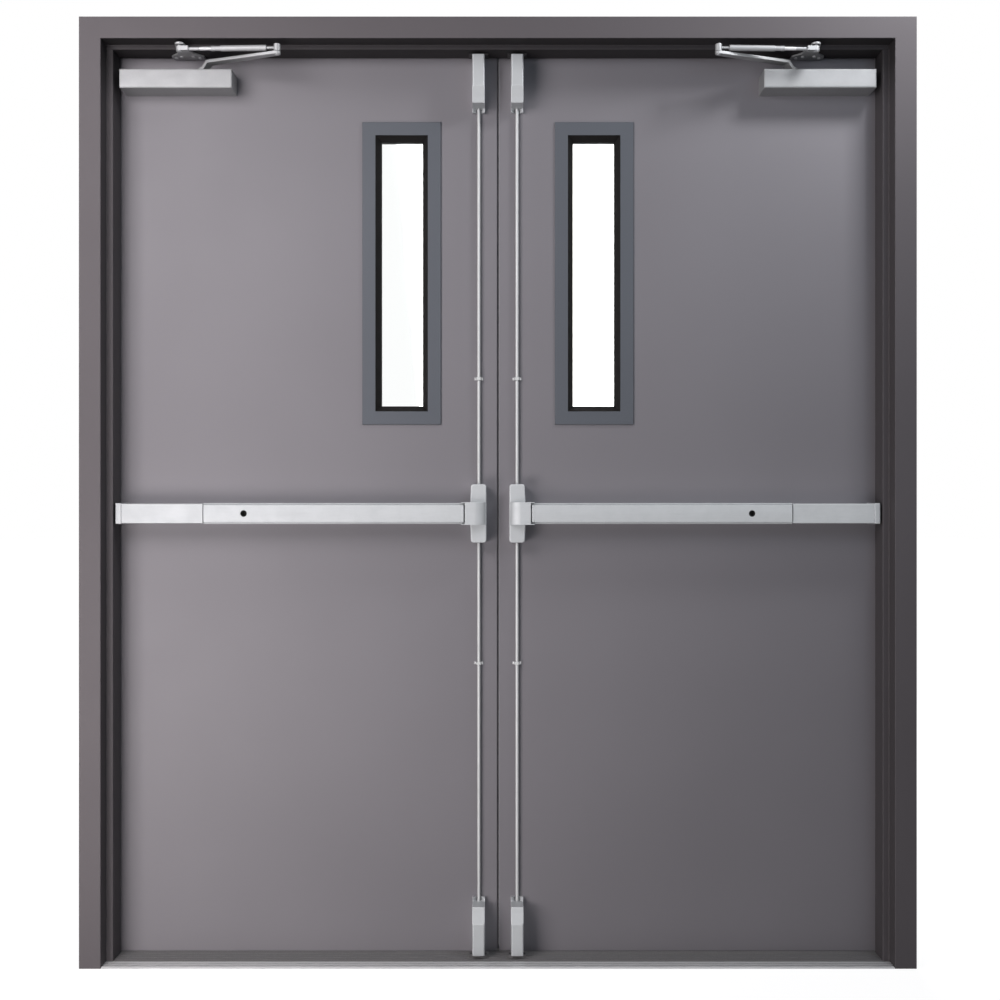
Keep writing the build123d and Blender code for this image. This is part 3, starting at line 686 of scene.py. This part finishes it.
@dataclass(frozen=True)
class ScrewHead:
    """A domed or flush screw head with its recess pressed into the crown.

    The recess is measured in radii: blade and flat are half widths and reach is how far a blade
    goes out, each with the blur over which it ends.
    """

    radius: float
    rise: float
    drive: Drive = Drive.CROSS
    rings: int = 9
    segments: int = 32
    ring_power: float = 0.85
    crown_fall: float = 0.35
    crown_power: float = 2.6
    recess_share: float = 0.6
    blade: tuple[float, float] = (0.17, 0.07)
    reach: tuple[float, float] = (0.68, 0.14)
    flat: tuple[float, float] = (0.56, 0.06)
    skirt_share: float = 1.02
    skirt_depth: float = 0.5 * MM

    @staticmethod
    def inside(away: Grid, edge: tuple[float, float]) -> Grid:
        """1 well inside an edge and 0 outside it: clip((edge - away) / blur, 0, 1)."""
        return np.clip((edge[0] - away) / edge[1], 0, 1)

    def recess(self, x: Grid, y: Grid) -> Grid:
        """Depth of the recess over the head's unit disc.

        A cross is deep where the smaller of |x| and |y| is under a blade's half width and the
        larger is inside its reach; a hexagon is deep where the largest of its three distances
        to opposite flats is small.

        Args:
            x: First coordinate, in radii.
            y: Second coordinate, in radii.

        Returns:
            Depth at each point, from 0 to 1.
        """
        if self.drive is Drive.PLAIN:
            return np.zeros_like(x)
        if self.drive is Drive.CROSS:
            beside = np.minimum(np.abs(x), np.abs(y))
            along = np.maximum(np.abs(x), np.abs(y))
            return self.inside(beside, self.blade) * self.inside(along, self.reach)
        angles = np.arange(3)[:, None, None] * math.pi / 3
        flats = np.abs(x * np.cos(angles) + y * np.sin(angles))
        return self.inside(flats.max(0), self.flat)

    def add(self, casting: Casting, centre: Colour, axis: Colour) -> None:
        """Set a head at a point.

        height(r, t) = rise * (1 - crown_fall * r^crown_power - recess_share * recess), closed by
        a skirt that goes under the seat.

        Args:
            casting: Piece that it becomes part of.
            centre: Centre of its seat.
            axis: Direction that it faces.
        """
        share = np.linspace(0.0, 1.0, self.rings) ** self.ring_power
        turn = around(self.segments)
        x, y = share[:, None] * np.cos(turn), share[:, None] * np.sin(turn)
        fall = self.crown_fall * share[:, None] ** self.crown_power
        height = self.rise * (1 - fall - self.recess_share * self.recess(x, y))
        disc = lathe(np.stack([share * self.radius, np.zeros_like(share)], 1), centre, axis, self.segments)
        along = np.array(axis, float) / np.linalg.norm(axis)
        crown = disc + height[..., None] * along
        edge = [(self.radius * self.skirt_share, -self.skirt_depth), (0.0, -self.skirt_depth)]
        skirt = lathe(edge, centre, axis, self.segments)
        casting.shell(np.concatenate([crown, skirt]))


@dataclass
class MeetingSeal:
    """Soft bulb on the left leaf's meeting edge that closes the gap between the leaves.

    Its nose is (reach * cos t, bulb / 2 * sin t), t over a half turn, and its flat lies just
    inside the edge.
    """

    set_back: float = 3.2 * MM
    bulb: float = 4.6 * MM
    air: float = 0.15 * MM
    root: float = 0.2 * MM

    def build(self, wardrobe: Wardrobe) -> None:
        """Carry a D section down the edge of the leaf."""
        low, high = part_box("left_door_leaf")
        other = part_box("right_door_leaf")[0][0]
        reach = other - high[0] - self.air
        front = low[1] + self.set_back
        turn = np.linspace(-math.pi / 2, math.pi / 2, 13)
        nose = np.stack([reach * np.cos(turn), self.bulb / 2 * np.sin(turn)], 1)
        section = np.concatenate([[(-self.root, -self.bulb / 2)], nose, [(-self.root, self.bulb / 2)]])
        casting = Casting("left_meeting_seal")
        casting.shell(prism(section, (high[0], front + self.bulb / 2, low[2]), (0, 0, high[2] - low[2]),
                            (1, 0, 0), (0, 1, 0)))
        casting.finish(wardrobe, "leaf_paint", "left_leaf", "seal_grey")


@dataclass
class DoorSweep:
    """Painted drop seal in the foot of a leaf, just clear of the threshold."""

    side: Side
    air: float = 0.6 * MM
    overlap: float = 3.0 * MM
    depth: float = 9.0 * MM
    corner: float = 0.6 * MM
    face_air: float = 0.2 * MM
    end_air: float = 0.3 * MM

    def build(self, wardrobe: Wardrobe) -> None:
        """Carry a rounded strip along the bottom edge, flush with the push face."""
        low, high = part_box(self.side.node("door_leaf"))
        floor_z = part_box("threshold")[1][2] + self.air
        height = low[2] + self.overlap - floor_z
        section = rounded_box(self.depth, height, self.corner)
        start = (low[0] + self.end_air, low[1] + self.face_air + self.depth / 2, floor_z + height / 2)
        length = high[0] - low[0] - 2 * self.end_air
        casting = Casting(self.side.node("door_sweep"))
        casting.shell(prism(section, start, (length, 0, 0), (0, 1, 0), (0, 0, 1)))
        casting.finish(wardrobe, "leaf_paint", self.side.node("leaf"))


@dataclass
class RevealShadeLiner:
    """Near-black liner that paints shade over the sloped reveal of a vision lite, push and pull.

    Each ring round the opening has four corners (x0 +- (w + k), z0 +- (h + k)) at depth y, so the
    section's points (k, y) are carried round the rectangle with mitred corners.
    """

    side: Side
    half_width: float = 50.8 * MM
    slope: float = 12.0 * MM
    flange: float = 31.0 * MM
    thickness: float = 0.7 * MM
    lip: float = 1.6 * MM
    lip_height: float = 1.4 * MM
    mouth_depth: float = 0.5 * MM
    overlap: float = 0.4 * MM
    glass_air: float = 0.05 * MM
    crease: float = 20.0

    def build(self, wardrobe: Wardrobe) -> None:
        """Loft a thin mitred frame down the slope on each face."""
        for face, toward in (("push", 1.0), ("pull", -1.0)):
            flange_low, flange_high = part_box(self.side.node(f"lite_frame_{face}"))
            glass_low, glass_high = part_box(self.side.node("lite_glass"))
            middle = (np.array(flange_low) + np.array(flange_high)) / 2
            half_height = (flange_high[2] - flange_low[2]) / 2 - self.slope - self.flange
            outside = flange_low[1] if toward > 0 else flange_high[1]
            mouth = outside + toward * self.mouth_depth
            glass = glass_low[1] if toward > 0 else glass_high[1]
            foot = glass - toward * self.glass_air
            section = (
                (self.slope + self.overlap, mouth),
                (self.slope - self.thickness, mouth),
                (-self.lip, glass - toward * self.lip_height),
                (-self.lip, foot),
                (self.overlap, foot),
            )
            k, y = np.array(section).T
            x = middle[0] + QUARTERS[:, :1] * (self.half_width + k[None])
            z = middle[2] + QUARTERS[:, 1:] * (half_height + k[None])
            grid = np.stack([x, np.broadcast_to(y, x.shape), z], axis=-1)
            casting = Casting(self.side.node(f"glazing_liner_{face}"), self.crease)
            casting.shell(grid, hollow=True)
            casting.finish(wardrobe, "lite_paint", self.side.node("leaf"), "liner_black")


@dataclass
class LiteScrews:
    """Flush screws round the pull side of a vision lite."""

    side: Side
    inset: float = 15.5 * MM
    down: int = 6
    across: int = 2
    head: ScrewHead = ScrewHead(3.6 * MM, 0.9 * MM)

    def build(self, wardrobe: Wardrobe) -> None:
        """Space the screws evenly on the middle line of the flange."""
        low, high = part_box(self.side.node("lite_frame_pull"))
        left, right = low[0] + self.inset, high[0] - self.inset
        bottom, top = low[2] + self.inset, high[2] - self.inset
        uprights = np.linspace(bottom, top, self.down)
        places = [(x, z) for x in (left, right) for z in uprights]
        rails = np.linspace(left, right, self.across + 2)[1:-1]
        places += [(x, z) for x in rails for z in (bottom, top)]
        casting = Casting(self.side.node("lite_screws"))
        for x, z in places:
            self.head.add(casting, (x, high[1], z), (0, 1, 0))
        casting.finish(wardrobe, "lite_paint", self.side.node("leaf"), "screw_steel")


@dataclass
class HingeTrim:
    """Flush screws in the hinge plates and the domed tips of the hinges.

    The neck under a tip is rows of radius and height.
    """

    side: Side
    hinges: int = 3
    plate_half: float = 57.15 * MM
    screw_rows: tuple[tuple[float, float], ...] = ((14.0 * MM, 44.0 * MM), (26.0 * MM, 17.0 * MM))
    head: ScrewHead = ScrewHead(4.2 * MM, 0.9 * MM, rings=8, segments=28)
    tip_radius: float = 5.6 * MM
    tip_rise: float = 3.6 * MM
    tip_base: float = 1.2 * MM
    tip_root: float = 0.2 * MM
    tip_segments: int = 24
    neck: tuple[tuple[float, float], ...] = (
        (0.0, -0.3 * MM), (4.2 * MM, -0.3 * MM), (4.2 * MM, 0.6 * MM), (5.6 * MM, 0.8 * MM),
    )
    knuckle_radius: float = 6.5 * MM
    pin_x: float = 911.9 * MM
    jamb_face: float = 914.4 * MM

    def levels(self) -> Grid:
        """Heights of the hinge centres, from the span of the leaf's halves."""
        low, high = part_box(self.side.node("hinge_halves"))
        return np.linspace(low[2] + self.plate_half, high[2] - self.plate_half, self.hinges)

    def screws(self, wardrobe: Wardrobe, face_x: float, facing: float, back_y: float, name: str,
               body: str) -> None:
        """Set four staggered screws in each plate of one leaf or jamb.

        Args:
            wardrobe: Where the finish hangs.
            face_x: Plane of the plates.
            facing: Sign of X that they face.
            back_y: Edge of the plates at the knuckles.
            name: Name of the piece.
            body: Body that carries it.
        """
        casting = Casting(name)
        for level in self.levels():
            for inset, offset in self.screw_rows:
                for sign in (-1.0, 1.0):
                    centre = (face_x, back_y - inset, level + sign * offset)
                    self.head.add(casting, centre, (facing, 0, 0))
        casting.finish(wardrobe, "hinge_steel", body, "screw_steel")

    def tips(self, wardrobe: Wardrobe) -> None:
        """Dome a tip over and under each hinge: radius_i = r cos a, height_i = h sin a."""
        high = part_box(self.side.node("hinge_halves"))[1]
        centre_x = self.side.value * self.pin_x
        centre_y = high[1] - self.knuckle_radius
        rise = np.linspace(0.0, math.pi / 2, 7)
        dome = np.stack([self.tip_radius * np.cos(rise), self.tip_base + self.tip_rise * np.sin(rise)], 1)
        profile = np.concatenate([self.neck, dome])
        casting = Casting(self.side.node("hinge_tips"))
        for level in self.levels():
            for sign in (-1.0, 1.0):
                end = level + sign * (self.plate_half - self.tip_root)
                casting.shell(lathe(profile, (centre_x, centre_y, end), (0, 0, sign), self.tip_segments))
        casting.finish(wardrobe, "hinge_steel", "frame")

    def build(self, wardrobe: Wardrobe) -> None:
        """Trim the leaf's plates, the jamb's plates and the tips."""
        sign = self.side.value
        leaf_low, leaf_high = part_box(self.side.node("door_leaf"))
        leaf_face = leaf_low[0] if sign < 0 else leaf_high[0]
        back = leaf_high[1]
        self.screws(wardrobe, leaf_face, sign, back, self.side.node("hinge_leaf_screws"),
                    self.side.node("leaf"))
        self.screws(wardrobe, sign * self.jamb_face, -sign, back, self.side.node("hinge_jamb_screws"),
                    "frame")
        self.tips(wardrobe)


@dataclass
class DoggingSocket:
    """Black hexagon socket behind the hole in a push pad.

    The well's radius is key / cos a, with a the angle from the middle of the nearest flat.
    """

    side: Side
    inset: float = 93.9 * MM
    radius: float = 9.6 * MM
    key: float = 4.6 * MM
    face_depth: float = 3.6 * MM
    length: float = 9.0 * MM
    floor: float = 2.0 * MM
    chamfer: float = 0.6 * MM
    key_chamfer: float = 0.5 * MM
    segments: int = 36

    def build(self, wardrobe: Wardrobe) -> None:
        """Turn a cup with a hexagon well."""
        low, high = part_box(self.side.node("push_pad"))
        sign = self.side.value
        hinge_end = low[0] if sign < 0 else high[0]
        centre = (hinge_end - sign * self.inset, low[1] + self.face_depth, (low[2] + high[2]) / 2)
        turn = around(self.segments)
        flat = (turn + math.pi / 6) % (math.pi / 3) - math.pi / 6
        hexagon = self.key / np.cos(flat)
        wall = np.full(self.segments, self.radius)
        radius = np.stack([wall, wall, wall - self.chamfer, hexagon + self.chamfer, hexagon, hexagon])
        depth = np.array([self.length, self.chamfer, 0, 0, self.key_chamfer, self.length - self.floor])
        grid = np.stack([
            centre[0] + radius * np.cos(turn),
            np.broadcast_to(centre[1] + depth[:, None], radius.shape),
            centre[2] + radius * np.sin(turn),
        ], axis=-1)
        casting = Casting(self.side.node("dogging_socket"))
        casting.shell(grid)
        casting.finish(wardrobe, "cap_silver", self.side.node("pad"), "socket_black")


@dataclass
class PadPlug:
    """Moulded plug in the open end of a push pad, beside the centre cover.

    ring_i = middle + shrink_i * section at x_i, for its root, the start of its chamfer and its end.
    """

    side: Side
    length: float = 4.6 * MM
    depth: float = 34.0 * MM
    corner: float = 1.3 * MM
    root: float = 1.0 * MM
    chamfer: float = 0.8 * MM

    def build(self, wardrobe: Wardrobe) -> None:
        """Carry a rounded section on from the end of the pad and chamfer its last millimetre."""
        low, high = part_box(self.side.node("push_pad"))
        sign = self.side.value
        end = high[0] if sign < 0 else low[0]
        size = np.array([self.depth, high[2] - low[2]])
        section = rounded_box(*size, self.corner)
        steps = np.array([-self.root, self.length - self.chamfer, self.length])
        shrink = np.stack([np.ones(2), np.ones(2), 1.0 - 2.0 * self.chamfer / size])
        ring = section[None] * shrink[:, None] + (low[1] + self.depth / 2, (low[2] + high[2]) / 2)
        x = np.broadcast_to((end - sign * steps)[:, None], ring.shape[:2])
        casting = Casting(self.side.node("pad_plug"))
        casting.shell(np.stack([x, ring[..., 0], ring[..., 1]], axis=-1))
        casting.finish(wardrobe, "bar_aluminium", self.side.node("pad"))


@dataclass
class ArmHardware:
    """Spindle screw, elbow rivet and forearm thread of one closer linkage.

    Places are x and y of the right leaf; the washer is rows of radius and height. The thread is
    radius(s, t) = rod radius + height * triangle(s / pitch - t / 2 pi), with s along the rod.
    """

    side: Side
    spindle: tuple[float, float] = (696.0 * MM, -11.025 * MM)
    elbow: tuple[float, float] = (507.0 * MM, -80.0 * MM)
    pivot: tuple[float, float] = (733.0 * MM, -72.0 * MM)
    hub_top: float = 2093.4 * MM
    tip_bottom: float = 2102.8 * MM
    forearm_z: float = 2118.2 * MM
    elbow_top: float = 2125.4 * MM
    rod_radius: float = 4.0 * MM
    thread_from: float = 47.0 * MM
    thread_to: float = 73.8 * MM
    thread_pitch: float = 1.5 * MM
    thread_height: float = 0.5 * MM
    thread_air: float = 0.02 * MM
    thread_steps: int = 140
    thread_segments: int = 24
    thread_crease: float = 50.0
    washer: tuple[tuple[float, float], ...] = (
        (0.0, -0.2 * MM), (8.2 * MM, -0.2 * MM), (8.2 * MM, 0.9 * MM), (7.8 * MM, 1.3 * MM),
        (0.0, 1.3 * MM),
    )
    washer_segments: int = 32
    screw_seat: float = 1.2 * MM
    spindle_head: ScrewHead = ScrewHead(5.6 * MM, 3.4 * MM, Drive.HEX)
    rivet_head: ScrewHead = ScrewHead(5.0 * MM, 1.8 * MM, Drive.PLAIN)
    cap_head: ScrewHead = ScrewHead(6.4 * MM, 1.6 * MM, Drive.HEX)

    def point(self, place: tuple[float, float], height: float) -> Colour:
        """A place carried to this side, at a height."""
        return (self.side.value * place[0], place[1], height)

    def thread(self, wardrobe: Wardrobe) -> None:
        """Wind a thread on the forearm."""
        start = np.array(self.point(self.pivot, self.forearm_z))
        run = np.array(self.point(self.elbow, self.forearm_z)) - start
        run /= np.linalg.norm(run)
        along = np.linspace(self.thread_from, self.thread_to, self.thread_steps)
        turn = around(self.thread_segments)
        phase = (along[:, None] / self.thread_pitch - turn[None] / (2 * math.pi)) % 1.0
        tooth = 1.0 - np.abs(2.0 * phase - 1.0)
        ease = np.clip(np.minimum(along - along[0], along[-1] - along) / self.thread_pitch, 0.0, 1.0)
        radius = self.rod_radius + self.thread_air + self.thread_height * tooth * ease[:, None]
        up = np.array((0.0, 0.0, 1.0))
        beside = np.cross(run, up)
        circle = np.cos(turn)[:, None] * beside + np.sin(turn)[:, None] * up
        grid = start + along[:, None, None] * run + radius[..., None] * circle[None]
        casting = Casting(self.side.node("forearm_thread"), self.thread_crease)
        casting.shell(grid)
        casting.finish(wardrobe, "closer_silver", self.side.node("forearm"), "screw_steel")

    def build(self, wardrobe: Wardrobe) -> None:
        """Set the screw heads, then wind the thread."""
        spindle = Casting(self.side.node("spindle_screw"))
        hub = self.point(self.spindle, self.hub_top)
        spindle.shell(lathe(self.washer, hub, (0, 0, 1), self.washer_segments))
        seat = self.point(self.spindle, self.hub_top + self.screw_seat)
        self.spindle_head.add(spindle, seat, (0, 0, 1))
        spindle.finish(wardrobe, "closer_silver", self.side.node("main_arm"), "screw_steel")
        rivet = Casting(self.side.node("elbow_rivet"))
        self.rivet_head.add(rivet, self.point(self.elbow, self.tip_bottom), (0, 0, -1))
        rivet.finish(wardrobe, "closer_silver", self.side.node("main_arm"), "screw_steel")
        cap = Casting(self.side.node("elbow_cap"))
        self.cap_head.add(cap, self.point(self.elbow, self.elbow_top), (0, 0, 1))
        cap.finish(wardrobe, "closer_silver", self.side.node("forearm"), "screw_steel")
        self.thread(wardrobe)


@dataclass
class FrameScrews:
    """Screws that show on the frame: closer brackets, head strikes and floor strikes."""

    bracket_z: float = 2127.0 * MM
    bracket_x: tuple[float, ...] = (760.9 * MM, 747.4 * MM, 719.8 * MM, 705.9 * MM)
    bracket_y: tuple[float, ...] = (10.2 * MM, 0.5 * MM, 0.5 * MM, 10.2 * MM)
    strike_x: float = 45.5 * MM
    strike_y: float = 2.575 * MM
    strike_spread: float = 16.5 * MM
    pan: ScrewHead = ScrewHead(4.2 * MM, 2.2 * MM)
    flush: ScrewHead = ScrewHead(3.4 * MM, 0.8 * MM, rings=8, segments=28)

    def build(self, wardrobe: Wardrobe) -> None:
        """Set every head on the plate that it holds."""
        brackets = Casting("bracket_screws")
        for side in Side:
            for x, y in zip(self.bracket_x, self.bracket_y):
                self.pan.add(brackets, (side.value * x, y, self.bracket_z), (0, 0, -1))
        brackets.finish(wardrobe, "closer_silver", "frame", "screw_steel")
        strikes = Casting("strike_screws")
        levels = ((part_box("top_strikes")[0][2], -1.0), (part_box("bottom_strikes")[1][2], 1.0))
        for side in Side:
            for sign in (-1.0, 1.0):
                for z, facing in levels:
                    x = side.value * self.strike_x + sign * self.strike_spread
                    self.flush.add(strikes, (x, self.strike_y, z), (0, 0, facing))
        # These heads take the strikes' near-black painted shade.
        strikes.finish(wardrobe, "strike_steel", "frame")


@dataclass
class GuideScrews:
    """Small round heads on the feet of the rod guides."""

    side: Side
    foot: float = 8.1 * MM
    thickness: float = 1.6 * MM
    height: float = 7.0 * MM
    head: ScrewHead = ScrewHead(2.2 * MM, 1.3 * MM, rings=6, segments=18)

    def build(self, wardrobe: Wardrobe) -> None:
        """Set a head on each foot of each guide."""
        low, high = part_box(self.side.node("rod_guides"))
        middle = (low[0] + high[0]) / 2
        casting = Casting(self.side.node("guide_screws"))
        for z in (low[2] + self.height / 2, high[2] - self.height / 2):
            for sign in (-1.0, 1.0):
                centre = (middle + sign * self.foot, high[1] - self.thickness, z)
                self.head.add(casting, centre, (0, -1, 0))
        casting.finish(wardrobe, "rod_steel", self.side.node("leaf"), "screw_steel")


@dataclass(frozen=True)
class Softbox:
    """A rectangular soft lamp on a stand."""

    name: str
    at: Colour
    target: Colour
    power: float
    width: float
    height: float
    colour: Colour

    def hang(self) -> None:
        """Put the lamp in place, facing its target."""
        data = bpy.data.lights.new(self.name, "AREA")
        data.shape = "RECTANGLE"
        data.energy = self.power
        data.size = self.width
        data.size_y = self.height
        data.color = self.colour
        lamp = bpy.data.objects.new(self.name, data)
        lamp.location = self.at
        facing = Vector(self.target) - Vector(self.at)
        lamp.rotation_euler = facing.to_track_quat("-Z", "Y").to_euler()
        bpy.context.collection.objects.link(lamp)
        log.info("lamp %s", self.name)


LAMPS = (
    Softbox("high_key", (-1.2, -1.3, 2.1), (-0.3, 0.0, 1.55), 18.6, 1.0, 0.9, (1.0, 0.965, 0.98)),
    Softbox("low_key", (-1.2, -1.3, 0.45), (-0.3, 0.0, 0.75), 15.8, 1.0, 0.7, (1.0, 0.95, 0.945)),
    Softbox("high_accent", (1.2, -0.6, 2.7), (0.6, 0.0, 1.8), 11.0, 0.3, 0.3, (0.97, 0.98, 1.0)),
    Softbox("cool_side", (1.2, -1.8, 2.0), (0.5, 0.0, 1.4), 3.2, 0.9, 0.9, (0.72, 0.92, 1.1)),
    Softbox("rear_fill", (0.6, 3.4, 2.3), (0.0, 0.0, 1.1), 85.0, 2.2, 2.2, (1.0, 1.0, 1.0)),
)


@dataclass
class Studio:
    """Camera, lamps, floor and the white surround."""

    eye: Colour = (0.005, -2.853, 1.0794)
    lens: float = 43.47
    surround: float = 0.056
    surround_tint: Colour = (0.94, 0.99, 1.08)
    floor_half: float = 30.0
    floor_tone: Colour = (0.24, 0.24, 0.245)
    floor_swing: float = 0.02
    floor_grain: float = 3.0
    floor_near: float = 0.9
    floor_far_start: float = 1.2
    floor_far_end: float = 3.0

    def camera(self) -> None:
        """Set the camera level, square to the door and without shift."""
        data = bpy.data.cameras.new("viewer")
        data.lens = self.lens
        data.sensor_width = 36.0
        data.clip_start = 0.05
        data.clip_end = 200.0
        viewer = bpy.data.objects.new("viewer", data)
        viewer.location = self.eye
        viewer.rotation_euler = (math.pi / 2, 0.0, 0.0)
        bpy.context.collection.objects.link(viewer)
        bpy.context.scene.camera = viewer

    def sky(self) -> None:
        """Surround that is white to the camera, to gloss and through glass, and dim as a light."""
        world = bpy.data.worlds.new("surround")
        bpy.context.scene.world = world
        world.use_nodes = True
        tree = world.node_tree
        tree.nodes.clear()
        tone = tree.nodes.new("ShaderNodeMix")
        tone.data_type = "RGBA"
        tone.inputs[MIX_FIRST].default_value = (*shade(self.surround_tint, self.surround), 1.0)
        tone.inputs[MIX_SECOND].default_value = (1.0, 1.0, 1.0, 1.0)
        tree.links.new(unlit_rays(tree), tone.inputs[0])
        glow = tree.nodes.new("ShaderNodeBackground")
        tree.links.new(tone.outputs[MIX_RESULT], glow.inputs["Color"])
        out = tree.nodes.new("ShaderNodeOutputWorld")
        tree.links.new(glow.outputs[0], out.inputs["Surface"])

    def floor(self) -> None:
        """Pale floor that keeps the door's shadow and runs out white.

        The camera sees a glow that rises from floor_near to 1 with the distance from the door,
        on top of the light that the floor sends back.
        """
        corners = [(*(quarter * self.floor_half), 0.0) for quarter in QUARTERS]
        mesh = bpy.data.meshes.new("studio_floor")
        mesh.from_pydata(corners, [], [(0, 1, 2, 3)])
        floor = bpy.data.objects.new("studio_floor", mesh)
        bpy.context.collection.objects.link(floor)
        graph = Graph("pale_floor")
        grain = graph.span(graph.noise(self.floor_grain, detail=2.0), 0.0, 1.0)
        graph.feed("Base Color", graph.varied(grain, self.floor_tone, self.floor_swing))
        graph.feed("Roughness", 0.9)
        graph.feed("Specular IOR Level", 0.0)
        graph.shader.inputs["Emission Color"].default_value = (1.0, 1.0, 1.0, 1.0)
        away = graph.add("VectorMath", operation="LENGTH")
        graph.join((graph.add("TexCoord"), "Object"), away, 0)
        glow = graph.span((away, "Value"), self.floor_near, 1.0, self.floor_far_start, self.floor_far_end)
        seen = graph.add("Math", operation="MULTIPLY")
        graph.tree.links.new(unlit_rays(graph.tree), seen.inputs[0])
        graph.join(glow, seen, 1)
        graph.feed("Emission Strength", (seen, 0))
        mesh.materials.append(graph.material)

    def build(self) -> None:
        """Set the whole studio."""
        bpy.context.scene.view_settings.view_transform = "Standard"
        self.camera()
        for lamp in LAMPS:
            lamp.hang()
        self.sky()
        self.floor()
        log.info("studio set")


LEAF_DETAILS = (DoorSweep, RevealShadeLiner, LiteScrews, HingeTrim, DoggingSocket, PadPlug, ArmHardware,
                GuideScrews)


def main() -> None:
    """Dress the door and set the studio."""
    logging.basicConfig(level=logging.INFO, format="%(name)s: %(message)s")
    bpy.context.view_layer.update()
    Studio().build()
    wardrobe = Wardrobe.build()
    wardrobe.dress(FRAME_PIECES, str)
    for side in Side:
        wardrobe.dress(BODY_PIECES, side.node)
    MeetingSeal().build(wardrobe)
    FrameScrews().build(wardrobe)
    for side in Side:
        for detail in LEAF_DETAILS:
            detail(side).build(wardrobe)


if __name__ == "__main__":
    main()
